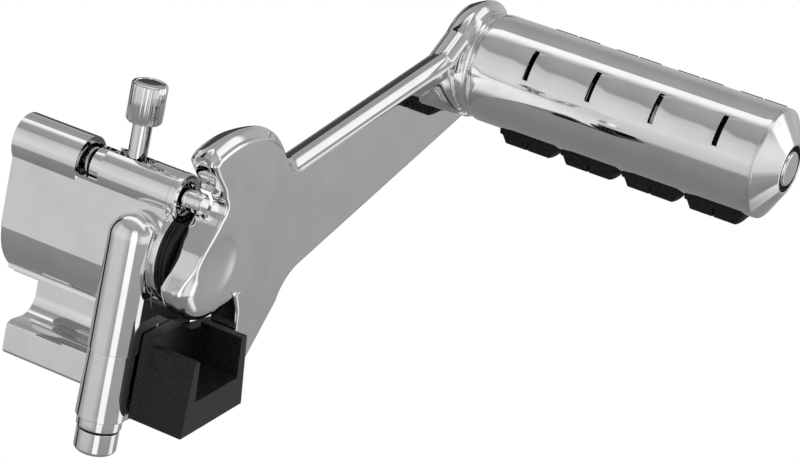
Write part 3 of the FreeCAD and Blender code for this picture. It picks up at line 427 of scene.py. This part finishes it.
cut.solver = "EXACT"
finished(washer, "friction_washer", plastic)
bpy.data.objects.remove(way)
washer.data.transform(upright)

# Folding arm. One chromed casting from the hub, with its locking lobe and stop tail, to the eye of
# the peg. Its rims are rolled over, its top edge is crowned, and the hub is dished in front. The
# pivot, the peg and the lock groove for the pin are cut into it from the back.
def swept(points, chord=0.9):
    """The outline through points whose third value is the radius of the arc that follows."""
    path = []
    for index, point in enumerate(points):
        start = Vector(point[:2])
        end = Vector(points[(index + 1) % len(points)][:2])
        span = end - start
        if len(point) < 3:
            count = max(1, round(span.length / chord))
            path += [start + span * (step / count) for step in range(count)]
            continue
        radius = abs(point[2])
        side = 1.0 if point[2] > 0 else -1.0
        left = Vector((-span.y, span.x)).normalized()
        reach = math.sqrt(max(radius * radius - span.length_squared / 4, 0.0))
        middle = (start + end) / 2 + left * reach * side
        sweep = 2 * math.asin(min(1.0, span.length / 2 / radius)) * side
        count = max(4, round(abs(sweep) * radius / chord))
        for step in range(count):
            turned = start - middle
            turned.rotate(Matrix.Rotation(sweep * step / count, 2))
            path.append(middle + turned)
    return path


def spot_at(degrees, radius):
    """The place at a bearing and a distance from the hub's middle."""
    return Vector((math.cos(math.radians(degrees)), math.sin(math.radians(degrees)))) * radius


hub_radius, eye_radius, arm_thick, lean_angle = 17.8, 18.3, 9.35, 6.5
swing_radius, groove_half = 18.385, 3.5
eye_y, eye_z = 152.1, 23.5
eye = Vector((eye_y, eye_z))
lock = spot_at(104.62 - lean_angle, swing_radius)
hub_start, hub_end = spot_at(195, hub_radius), spot_at(311, hub_radius)
notch_start, notch_end = lock + spot_at(50, groove_half), lock + spot_at(-60, groove_half)
arm_outline = swept([
    (*hub_start, hub_radius), (*hub_end,), (14.06, -19.5), (15.9, -41.5), (16.7, -42.3),
    (19.5, -41.9), (36.6, -23.6, -16.0), (47.4, -14.9), (142.6, 7.9, eye_radius),
    (eye_y + eye_radius, eye_z, eye_radius), (eye_y, eye_z + eye_radius, eye_radius),
    (138.5, 35.6), (129.0, 29.9), (41.0, 19.3, -9.0), (33.5, 22.3, 28.0), (15.0, 36.4, 39.0),
    (-6.0, 35.3), (-8.3, 33.2), (-5.6, 29.2), (lock.x + 1.0, lock.y + 6.0),
    (*notch_start, -groove_half), (*notch_end,), (lock.x - 0.3, lock.y - 5.6),
    (lock.x - 7.0, lock.y - 12.4), (lock.x - 11.0, lock.y - 18.5),
])
tips = np.array(arm_outline)
ends = np.roll(tips, -1, axis=0)
run = (ends - tips) / np.linalg.norm(ends - tips, axis=1)[:, None]
outward = np.stack([run[:, 1], -run[:, 0]], axis=1)
outward = (outward + np.roll(outward, 1, axis=0)) / 2


def inside_depth(spots):
    """How far each spot lies from the outline."""
    span = ends - tips
    away = spots[:, None, :] - tips[None, :, :]
    along = np.clip((away * span[None]).sum(axis=2) / (span ** 2).sum(axis=1)[None], 0.0, 1.0)
    return np.sqrt(((away - along[..., None] * span[None]) ** 2).sum(axis=2)).min(axis=1)


def within(spots):
    """True for the spots that the outline encloses."""
    y, z = spots[:, 0][:, None], spots[:, 1][:, None]
    crosses = (tips[:, 1] > z) != (ends[:, 1] > z)
    rise = np.where(ends[:, 1] == tips[:, 1], 1e-9, ends[:, 1] - tips[:, 1])
    cut = (z - tips[:, 1]) / rise * (ends[:, 0] - tips[:, 0]) + tips[:, 0]
    return ((crosses & (y < cut)).sum(axis=1) % 2) == 1


def ease(value, low, high):
    """Nothing up to the low value, one from the high value on, and a soft rise between."""
    share = np.clip((value - low) / (high - low), 0.0, 1.0)
    return share * share * (3.0 - 2.0 * share)


def free_side(spots, rise, fall):
    """One on the hub's free side, between two ranges of bearings, and nothing elsewhere."""
    from_hub = np.hypot(spots[:, 0], spots[:, 1])
    bearing = np.degrees(np.arctan2(spots[:, 1], spots[:, 0])) % 360
    return ease(bearing, *rise) * (1 - ease(bearing, *fall)) * (1 - ease(from_hub, 18.5, 21))


def front_roll(spots):
    """Radius of the front rim: broad at the hub's free side, small elsewhere."""
    tail = ease(-spots[:, 1], 20, 24)
    return 1.1 + 3.2 * free_side(spots, (165, 200), (285, 312)) - 0.3 * tail


def rear_roll(spots):
    """Radius of the rear rim: small, a little broader along the top, broad at the hub's side."""
    from_hub = np.hypot(spots[:, 0], spots[:, 1])
    top = np.where(spots[:, 1] > 0.12 * spots[:, 0] - 2.0, ease(from_hub, 20, 25), 0.0)
    return 0.8 + 0.3 * top + 2.0 * free_side(spots, (125, 160), (290, 312))


def rolled(depth, radius):
    """How far a rim of a given radius has dropped at a depth inside the outline."""
    share = np.clip(1.0 - depth / radius, 0.0, 1.0)
    return radius * (1.0 - np.sqrt(1.0 - share * share))


dish_depth, dish_radius, dish_power = 0.3, 9.9, 1.2
eye_rise, scoop_slope = 0.5, 0.283
scoop_y, scoop_z, scoop_cos, scoop_sin = 103.0, 25.0, 0.9239, 0.3827


def dished(from_hub):
    """Depth of the hub's dish at a distance from its middle."""
    return dish_depth * np.clip(1.0 - (from_hub / dish_radius) ** 2, 0.0, None) ** dish_power


def arm_front(spots):
    """Height of the front face: rolled rim, dished hub, scooped web and proud eye."""
    height = -rolled(inside_depth(spots), front_roll(spots))
    from_eye = np.hypot(spots[:, 0] - eye.x, spots[:, 1] - eye.y)
    height += eye_rise * (1 - ease(from_eye, 17.6, eye_radius))
    along = (spots[:, 0] - scoop_y) * scoop_cos - (spots[:, 1] - scoop_z) * scoop_sin
    across = (spots[:, 0] - scoop_y) * scoop_sin + (spots[:, 1] - scoop_z) * scoop_cos
    rim = across - np.interp(along, (0.0, 24.3, 33.0, 50.0), (-2.0, 10.6, 15.0, 9.0))
    scoop = np.clip(across, 0.0, None) * scoop_slope * (1 - ease(rim, -2.2, 0.2))
    scoop *= ease(from_eye, 15.0, 18.0) * ease(along, 0.0, 2.0)
    return height - scoop - dished(np.hypot(spots[:, 0], spots[:, 1]))


def arm_rear(spots):
    """Height of the rear face: flat, with a rolled rim."""
    return -arm_thick + rolled(inside_depth(spots), rear_roll(spots))


def face_spots(rows, extra, slack=0.93):
    """Spots for a face's mesh: rows that follow the outline inwards, and extra ones."""
    found = []
    for depth in rows:
        row = tips - outward * depth
        found.append(row[within(row) & (inside_depth(row) > depth * slack)])
    for spots in extra:
        found.append(spots[within(spots) & (inside_depth(spots) > rows[-1])])
    return np.concatenate(found)


def ring_spots(middle, radii, count):
    """Spots on circles round a middle."""
    angles = np.arange(count) * 2 * math.pi / count
    return np.concatenate([np.stack([middle.x + radius * np.cos(angles),
                                     middle.y + radius * np.sin(angles)], axis=1)
                           for radius in radii])


def face_mesh(work, rows, extra, height, forward):
    """Fill one face of the arm and set every spot at its height; gives the rim's vertices."""
    spots = [Vector(spot) for spot in np.concatenate([tips, face_spots(rows, extra)]).tolist()]
    found = delaunay_2d_cdt(spots, [], [list(range(len(tips)))], 1, 1e-4)
    places = np.array([list(spot) for spot in found[0]])
    heights = height(places)
    verts = [work.verts.new((heights[index], *places[index])) for index in range(len(places))]
    for face in found[2]:
        corners = [verts[index] for index in face]
        work.faces.new(corners if forward else list(reversed(corners)))
    rim = [None] * len(tips)
    for index, sources in enumerate(found[3]):
        for source in sources:
            if source < len(tips):
                rim[source] = verts[index]
    return rim


lean = (Matrix.Translation(hub) @ Matrix.Rotation(math.radians(lean_angle), 4, "X")
        @ Matrix.Scale(millimetre, 4))
hub_rings = ring_spots(Vector((0, 0)), (1, 2, 3, 4, 5, 6, 7, 8, 9, 9.6, 10.2, 11), 72)
eye_rings = ring_spots(eye, (17.4, 17.7, 18.0, 18.3, 18.7), 120)
web_grid = np.stack(np.meshgrid(np.arange(96, 142, 1.3), np.arange(0, 40, 1.3)), axis=-1)
front_rows = (0.06, 0.2, 0.4, 0.65, 0.95, 1.3, 1.8, 2.4, 3.2, 4.2)
rear_rows = (0.1, 0.3, 0.6, 1.0, 1.5, 2.1, 2.8, 3.6, 4.4, 5.2)
work = bmesh.new()
front_rim = face_mesh(work, front_rows, (hub_rings, web_grid.reshape(-1, 2), eye_rings),
                      arm_front, True)
rear_rim = face_mesh(work, rear_rows, (), arm_rear, False)
count = len(tips)
levels = [front_rim]
fronts = [vert.co.x for vert in front_rim]
rears = [vert.co.x for vert in rear_rim]
crown_height = 2.3
crown = crown_height * ease(outward[:, 1], 0.15, 0.6) * ease(np.hypot(*tips.T), 20, 26)
crown_profile = ((0.05, 0.24), (0.1, 0.47), (0.16, 0.72), (0.21, 0.88), (0.26, 0.97), (0.32, 1.0),
                 (0.38, 0.985), (0.45, 0.93), (0.6, 0.74), (0.75, 0.52), (0.88, 0.31),
                 (0.95, 0.17))
for share, rise in crown_profile:
    swell = tips + outward * (crown * rise)[:, None]
    levels.append([work.verts.new((fronts[index] + (rears[index] - fronts[index]) * share,
                                   *swell[index])) for index in range(count)])
levels.append(rear_rim)
for upper, lower in zip(levels[:-1], levels[1:]):
    for index in range(count):
        after = (index + 1) % count
        work.faces.new((upper[after], upper[index], lower[index], lower[after]))
bmesh.ops.recalc_face_normals(work, faces=work.faces)
arm = made("arm_casting", work)


def circle(middle, radius, count=96):
    """Spots round a middle, as pairs."""
    turns = (2 * math.pi * step / count for step in range(count))
    return [(middle.x + radius * math.cos(a), middle.y + radius * math.sin(a)) for a in turns]


def cutter(name, rings):
    """A closed cutter through rings of spots, each at its own place along the hub's axis."""
    work = bmesh.new()
    loops = [[work.verts.new((along, *spot)) for spot in spots] for along, spots in rings]
    for lower, upper in zip(loops[:-1], loops[1:]):
        for step in range(len(lower)):
            after = (step + 1) % len(lower)
            work.faces.new((lower[step], lower[after], upper[after], upper[step]))
    work.faces.new(list(reversed(loops[0])))
    work.faces.new(loops[-1])
    bmesh.ops.recalc_face_normals(work, faces=work.faces)
    return made(name, work)


behind, seat_radius, rod_radius, nut_radius = -11.0, 17.25, 4.1, 7.9
bush_radius, head_radius, cap_seat = 7.55, 8.3, 8.65
cutters = []
for name, middle, profile in (
        ("collar_seat", eye, ((-3.0, seat_radius), (2.0, seat_radius))),
        ("rod_hole", eye, ((behind, rod_radius), (0.0, rod_radius))),
        ("nut_pocket", eye, ((behind, nut_radius), (-6.25, nut_radius))),
        ("pivot_bore", Vector((0, 0)), ((behind, bush_radius), (-4.45, bush_radius),
                                        (-4.45, head_radius), (-1.9, head_radius),
                                        (-1.9, cap_seat), (1.0, cap_seat)))):
    cutters.append(cutter(name, [(along, circle(middle, radius)) for along, radius in profile]))
turns = [math.radians(a) for a in np.linspace(110.12, 13.12, 60)]
outer_radius, inner_radius = swing_radius + groove_half, swing_radius - groove_half
groove_floor = -5.2
path = [(outer_radius * math.cos(a), outer_radius * math.sin(a)) for a in turns]
path += [(swing_radius * math.cos(turns[-1]) + groove_half * math.cos(turns[-1] - b),
          swing_radius * math.sin(turns[-1]) + groove_half * math.sin(turns[-1] - b))
         for b in np.linspace(0, math.pi, 20)[1:-1].tolist()]
path += [(inner_radius * math.cos(a), inner_radius * math.sin(a)) for a in reversed(turns)]
cutters.append(cutter("lock_groove", [(behind, path), (groove_floor, path)]))
for tool in cutters:
    cut = arm.modifiers.new(tool.name, "BOOLEAN")
    cut.operation = "DIFFERENCE"
    cut.solver = "EXACT"
    cut.object = tool
finished(arm, "peg_arm", chrome)
for tool in cutters:
    bpy.data.objects.remove(tool)
arm.data.transform(lean)

# Cap in the hub. A thin chromed disc pressed into its seat over the pivot bolt, with a shallow
# dish that carries on the arm's.
cap_back, cap_radius = -1.88, 8.6
cap_rows = [(cap_back, 0.0), (cap_back, cap_radius)]
cap_rows += [(-dished(r), r) for r in (cap_radius, 8.0, 7, 6, 5, 4, 3, 2, 1, 0)]
finished(lathed("hub_cap", cap_rows, lean), "pivot_cap", chrome)

# Peg shell. A chromed steel tube with four cross slots and, below and behind, two long openings
# that the rubber pads fill. The walls are bent sheet, so the slots have crisp edges.
shell_start, shell_length, shell_radius, shell_wall, shell_round = 3.0, 100.8, 18.0, 2.2, 1.4
pads_start, pads_length, pad_half, pad_play, pads_in_row = 8.6, 89.6, 6.8, 0.25, 4
pad_pitch = pads_length / pads_in_row
slot_half_x, slot_half_width = 0.85, 5.25
slot_half_turn = math.asin(slot_half_width / shell_radius)
slot_angle = math.radians(143.0)
slot_places = [shell_start + pads_start + pad_pitch * (step + 0.5) for step in range(pads_in_row)]
open_half = math.asin((pad_half + pad_play) / shell_radius)
open_angles = [math.radians(-92.0), math.radians(20.5)]
open_from = shell_start + pads_start - pad_play
open_to = shell_start + pads_start + pads_length + pad_play


def rows_between(marks, step):
    """Places from the first mark to the last, with every mark among them."""
    found = []
    for low, high in zip(marks[:-1], marks[1:]):
        count = max(1, math.ceil((high - low) / step))
        found += [low + (high - low) * part / count for part in range(count)]
    return found + [marks[-1]]


marks = [shell_start, shell_start + shell_round, open_from, open_to, shell_start + shell_length]
for place_x in slot_places:
    marks += [place_x - slot_half_x, place_x + slot_half_x]
along = rows_between(sorted(marks), 6.0)
along[1:1] = [shell_start + 0.15, shell_start + 0.4, shell_start + 0.8]
marks = [slot_angle - slot_half_turn, slot_angle + slot_half_turn]
for angle in open_angles:
    marks += [(angle - open_half) % (2 * math.pi), (angle + open_half) % (2 * math.pi)]
marks.sort()
around_peg = rows_between(marks + [marks[0] + 2 * math.pi], math.radians(2.5))[:-1]


def apart(turn, other):
    """The angle between two turns, whichever way round is shorter."""
    return abs((turn - other + math.pi) % (2 * math.pi) - math.pi)


def in_opening(x, turn):
    """True inside a cross slot or one of the long openings."""
    if apart(turn, slot_angle) < slot_half_turn:
        return any(abs(x - spot) < slot_half_x for spot in slot_places)
    return min(apart(turn, angle) for angle in open_angles) < open_half and open_from < x < open_to


def shell_reach(x):
    """Outer radius of the tube, rounded over at its end by the arm."""
    short = max(0.0, shell_round - (x - shell_start))
    return shell_radius - shell_round + math.sqrt(max(shell_round ** 2 - short ** 2, 0.0))


def tube_skin(work, reach, forward):
    """The tube's outer or inner face with its openings left out, as a dict of vertices."""
    grid = {}
    for row, x in enumerate(along):
        for column, turn in enumerate(around_peg):
            radius = reach(x)
            grid[row, column] = work.verts.new((x, eye.x + radius * math.cos(turn),
                                                eye.y + radius * math.sin(turn)))
    for row in range(len(along) - 1):
        for column in range(len(around_peg)):
            after = (column + 1) % len(around_peg)
            middle_x = (along[row] + along[row + 1]) / 2
            middle_turn = around_peg[column] + ((around_peg[after] - around_peg[column])
                                                % (2 * math.pi)) / 2
            if in_opening(middle_x, middle_turn):
                continue
            corners = [grid[row, column], grid[row + 1, column], grid[row + 1, after],
                       grid[row, after]]
            work.faces.new(corners if forward else corners[::-1])
    return grid


work = bmesh.new()
outer = tube_skin(work, shell_reach, False)
inner = tube_skin(work, lambda x: shell_radius - shell_wall, True)
pairs = {outer[key]: inner[key] for key in outer}
for edge in [edge for edge in work.edges if edge.is_boundary and edge.verts[0] in pairs]:
    first, second = edge.verts
    work.faces.new((first, second, pairs[second], pairs[first]))
bmesh.ops.delete(work, geom=[vert for vert in work.verts if not vert.link_faces], context="VERTS")
bmesh.ops.recalc_face_normals(work, faces=work.faces)
tube = made("slotted_tube", work)
tube.data.transform(lean)
bevelled(tube, 0.00016, 2, 50.0)
finished(tube, "peg_shell", chrome, 40.0)

# Peg ends. A turned collar and thin washer at the arm, a spun cone at the free end, and the head
# of the long bolt that holds the peg together. All are chromed.
rounded("peg_collar", chrome, 0.0004, 2)
rounded("wave_washer", chrome, 0.0, 2)
long_bolt = rounded("peg_bolt", chrome, turned_edge, 2)
peg_axis = lean @ Matrix.Translation((0.0, eye.x, eye.y))
head_start, head_share = 108.25, 0.87
long_bolt.data.transform(peg_axis.inverted())
for vert in long_bolt.data.vertices:
    if vert.co.x > head_start:
        vert.co.yz *= head_share
long_bolt.data.transform(peg_axis)
cone_start = shell_start + shell_length
cone_end, pocket_floor = cone_start + 6.2, cone_start + 3.7
cone_bore, cone_foot, cone_mouth, pocket_radius = 4.1, 17.95, 8.3, 7.6
cone = softened([(cone_start, cone_bore), (cone_start, cone_foot), (cone_start + 0.8, cone_foot),
                 (cone_end, cone_mouth), (cone_end, pocket_radius), (pocket_floor, pocket_radius),
                 (pocket_floor, cone_bore)], 0.3)
finished(lathed("end_cone", cone, peg_axis), "peg_end", chrome, 40.0)

# Pads, seal and end ring. Moulded black rubber, a little dusty. Each pad is pressed from inside
# into the peg's long openings and stands out of the tube in a step with two ribs.
rubber, tree, shader, dust = coated("black_rubber", 900.0, 6.0, (0.004, 0.004, 0.004),
                                    (0.011, 0.011, 0.011), 0.55, 0.75)
shader.inputs["Specular IOR Level"].default_value = 0.2
relief(tree, shader, dust, 0.15, 0.0001)


def pad_block(work, turn, start, end, levels, arc=6):
    """A rubber block out of the tube: levels of reach, half width and the insets of both ends."""
    rings = []
    for reach, half, near, far in levels:
        rows = []
        for x in (start + near, end - far):
            row = []
            for step in range(arc + 1):
                side = half * (2 * step / arc - 1)
                out = math.sqrt(max(reach * reach - side * side, 0.0))
                row.append(work.verts.new((x, out * math.cos(turn) - side * math.sin(turn),
                                           out * math.sin(turn) + side * math.cos(turn))))
            rows.append(row)
        rings.append(rows[0] + rows[1][::-1])
    for lower, upper in zip(rings[:-1], rings[1:]):
        for step in range(len(lower)):
            after = (step + 1) % len(lower)
            work.faces.new((lower[step], lower[after], upper[after], upper[step]))
    for ring in (rings[0], rings[-1]):
        for step in range(arc):
            work.faces.new((ring[step], ring[step + 1], ring[-step - 2], ring[-step - 1]))


foot_low, foot_high, foot_gap = 12.6, 17.2, 0.05
step_low, step_high, step_half, step_gap, step_slope = 17.0, 19.7, 6.4, 1.5, 0.3
rib_low, rib_high, rib_foot, rib_half, rib_slope = step_high - 0.5, 22.3, 6.0, 5.2, 1.7
rib_inset, rib_gap = 0.7, 0.2
work = bmesh.new()
first_pad = shell_start + pads_start
left, right = first_pad + step_gap / 2, first_pad + pad_pitch - step_gap / 2
middle = (left + right) / 2
for turn in open_angles:
    pad_block(work, turn, first_pad + foot_gap, first_pad + pad_pitch - foot_gap,
              ((foot_low, pad_half, 0.0, 0.0), (foot_high, pad_half, 0.0, 0.0)))
    pad_block(work, turn, left, right, ((step_low, pad_half - 0.1, 0.0, 0.0),
                                        (step_high, step_half, step_slope, step_slope)))
    for start, end, near, far in ((left + rib_inset, middle - rib_gap, rib_slope, 0.0),
                                  (middle + rib_gap, right - rib_inset, 0.0, rib_slope)):
        pad_block(work, turn, start, end, ((rib_low, rib_foot, 0.0, 0.0),
                                           (rib_high, rib_half, near, far)))
bmesh.ops.recalc_face_normals(work, faces=work.faces)
blocks = made("rubber_blocks", work)
bevelled(blocks, 0.35, 3, 30.0)
repeated(blocks, "pad_row", rubber, pads_in_row, pitch=pad_pitch, weld=0.0)
finished(blocks, "rubber_pad_1", rubber, 40.0)
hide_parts(*[f"rubber_pad_{number}" for number in range(2, 9)])
blocks.data.transform(peg_axis)
for name in ("seal_ring", "end_washer"):
    rounded(name, rubber, 0.0)

# Studio floor. Plain pale paper under the object. The camera sees it as plain white, mirror
# reflections pass through it, and it throws a soft light up at the object.
ground, floor_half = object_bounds()[0][2] - 0.03, 3
floor_mesh = bpy.data.meshes.new("floor")
floor_mesh.from_pydata([(x * floor_half, y * floor_half, ground)
                        for x, y in ((-1, -1), (1, -1), (1, 1), (-1, 1))], [], [(0, 1, 2, 3)])
floor = bpy.data.objects.new("floor", floor_mesh)
bpy.context.scene.collection.objects.link(floor)
paper, tree, shader, _ = shader_tree("paper")
shader.inputs["Base Color"].default_value = (0.85, 0.85, 0.85, 1.0)
shader.inputs["Roughness"].default_value = 0.8
white = tree.nodes.new("ShaderNodeEmission")
white.inputs["Color"].default_value = (1.0, 1.0, 1.0, 1.0)
through = tree.nodes.new("ShaderNodeBsdfTransparent")


def shown_to(tree, ray_kind, other, chosen):
    """A mix that gives one shader to one kind of ray, and the other shader to all others."""
    mix = tree.nodes.new("ShaderNodeMixShader")
    tree.links.new(tree.nodes.new("ShaderNodeLightPath").outputs[ray_kind], mix.inputs["Fac"])
    tree.links.new(other, mix.inputs[1])
    tree.links.new(chosen, mix.inputs[2])
    return mix.outputs["Shader"]


seen = shown_to(tree, "Is Camera Ray", shader.outputs["BSDF"], white.outputs["Emission"])
tree.links.new(shown_to(tree, "Is Glossy Ray", seen, through.outputs["BSDF"]),
               tree.nodes["Material Output"].inputs["Surface"])
floor_mesh.materials.append(paper)

# Tent round the object. Grey cloth, lighter in front and at the right, with two upright strips of
# light and one along the ceiling, a dark field behind and a dark gap at the left. The camera sees
# plain white in its place.
world = bpy.data.worlds.new("studio")
bpy.context.scene.world = world
world.use_nodes = True
tree = world.node_tree
split = tree.nodes.new("ShaderNodeSeparateXYZ")
tree.links.new(tree.nodes.new("ShaderNodeTexCoord").outputs["Generated"], split.inputs["Vector"])


def reckon(operation, first, second=None, third=None):
    """One step of arithmetic in the world's tree."""
    node = tree.nodes.new("ShaderNodeMath")
    node.operation = operation
    for socket, value in zip(node.inputs, (first, second, third)):
        if value is None:
            continue
        if isinstance(value, (int, float)):
            socket.default_value = value
        else:
            tree.links.new(value, socket)
    return node.outputs["Value"]


def band(value, centre, half, edge):
    """One inside a band round the centre, nothing outside, with soft edges."""
    away = reckon("ABSOLUTE", reckon("SUBTRACT", value, centre))
    soft = tree.nodes.new("ShaderNodeMapRange")
    soft.interpolation_type = "SMOOTHSTEP"
    soft.inputs["From Min"].default_value = half + edge
    soft.inputs["From Max"].default_value = half - edge
    tree.links.new(away, soft.inputs["Value"])
    return soft.outputs["Result"]


x, y, z = split.outputs
bearing = reckon("ARCTAN2", y, x)
ahead = reckon("ARCTAN2", z, y)
strip_height = band(z, 0.0, 0.62, 0.12)
cloth = tree.nodes.new("ShaderNodeValToRGB")
ramp = cloth.color_ramp
ramp.interpolation = "EASE"
stops = ((0.0, 0.22), (0.22, 0.27), (0.40, 0.42), (0.52, 0.52), (0.66, 0.46), (0.82, 0.34),
         (1.0, 0.42))
for spot, level in stops[1:-1]:
    ramp.elements.new(spot)
for element, (spot, level) in zip(ramp.elements, stops):
    element.position = spot
    element.color = (level, level, level, 1.0)
tree.links.new(reckon("MULTIPLY_ADD", z, 0.5, 0.5), cloth.inputs["Fac"])
front = reckon("MULTIPLY", band(bearing, -2.05, 0.6, 0.3), band(z, 0.1, 0.52, 0.04))
side = reckon("MULTIPLY", band(bearing, 0.25, 0.7, 0.2), band(z, 0.0, 0.27, 0.08))
light = reckon("MULTIPLY_ADD", front, 0.26, cloth.outputs["Color"])
light = reckon("MULTIPLY_ADD", side, 0.34, light)
for centre, half, gain in ((-0.94, 0.24, 0.75), (0.72, 0.24, 0.65)):
    strip = reckon("MULTIPLY", band(bearing, centre, half, 0.05), strip_height)
    light = reckon("MULTIPLY_ADD", strip, gain, light)
ceiling = reckon("MULTIPLY", band(ahead, 2.39, 1.02, 0.02), band(ahead, 0.7, 0.98, 0.15))
ceiling = reckon("MULTIPLY", ceiling, band(x, 0.0, 0.75, 0.1))
light = reckon("MULTIPLY_ADD", ceiling, 0.7, light)
rear = reckon("MULTIPLY", band(bearing, 2.42, 0.38, 0.05), band(z, 0.0, 0.32, 0.05))
light = reckon("MULTIPLY", light, reckon("MULTIPLY_ADD", rear, -0.88, 1.0))
gap = reckon("MULTIPLY", reckon("ADD", band(bearing, 3.14, 0.12, 0.04),
                                band(bearing, -3.14, 0.12, 0.04)), strip_height)
light = reckon("MULTIPLY", light, reckon("MULTIPLY_ADD", reckon("MINIMUM", gap, 1.0), -0.96, 1.0))
sky = tree.nodes["Background"]
tree.links.new(light, sky.inputs["Color"])
clear = tree.nodes.new("ShaderNodeBackground")
clear.inputs["Color"].default_value = (1.0, 1.0, 1.0, 1.0)
tree.links.new(shown_to(tree, "Is Camera Ray", sky.outputs["Background"],
                        clear.outputs["Background"]),
               tree.nodes["World Output"].inputs["Surface"])

# Lamps. Three soft boxes round the object, a key light from the front, a fill from the left and
# a rim light from behind. They don't show in mirror reflections, which belong to the tent.
def softbox(name, place, aim, width, height, power):
    """A rectangular lamp that faces a spot."""
    light = bpy.data.lights.new(name, "AREA")
    light.shape = "RECTANGLE"
    light.size = width
    light.size_y = height
    light.energy = power
    lamp = bpy.data.objects.new(name, light)
    lamp.location = place
    lamp.rotation_euler = (Vector(aim) - Vector(place)).to_track_quat("-Z", "Y").to_euler()
    lamp.visible_glossy = False
    bpy.context.scene.collection.objects.link(lamp)


centre = (0.07, 0.05, 0.03)
softbox("key", (0.6, -0.9, 1.2), centre, 0.8, 0.8, 14.0)
softbox("fill", (-1.2, -0.6, 0.6), centre, 0.8, 0.8, 6.0)
softbox("rim", (0.2, 1.2, 0.9), centre, 1.0, 0.5, 8.0)

# Camera. It stands where the photograph was taken from, found by a perspective fit: a long lens
# that looks down at the arm's front from the right, with the peg towards it.
camera_data = bpy.data.cameras.new("camera")
camera_data.sensor_fit = "HORIZONTAL"
camera_data.sensor_width = 36.0
camera_data.lens = 139.7
camera = bpy.data.objects.new("camera", camera_data)
bpy.context.scene.collection.objects.link(camera)
camera_place = Vector((0.4643, -0.74562, 0.32223))
right = Vector((0.85109, 0.48611, 0.19832))
up = Vector((-0.31962, 0.18007, 0.93027))
turn = Matrix((right, up, right.cross(up))).transposed().to_4x4()
camera.matrix_world = Matrix.Translation(camera_place) @ turn
bpy.context.scene.camera = camera

bpy.context.scene.view_settings.view_transform = "Standard"
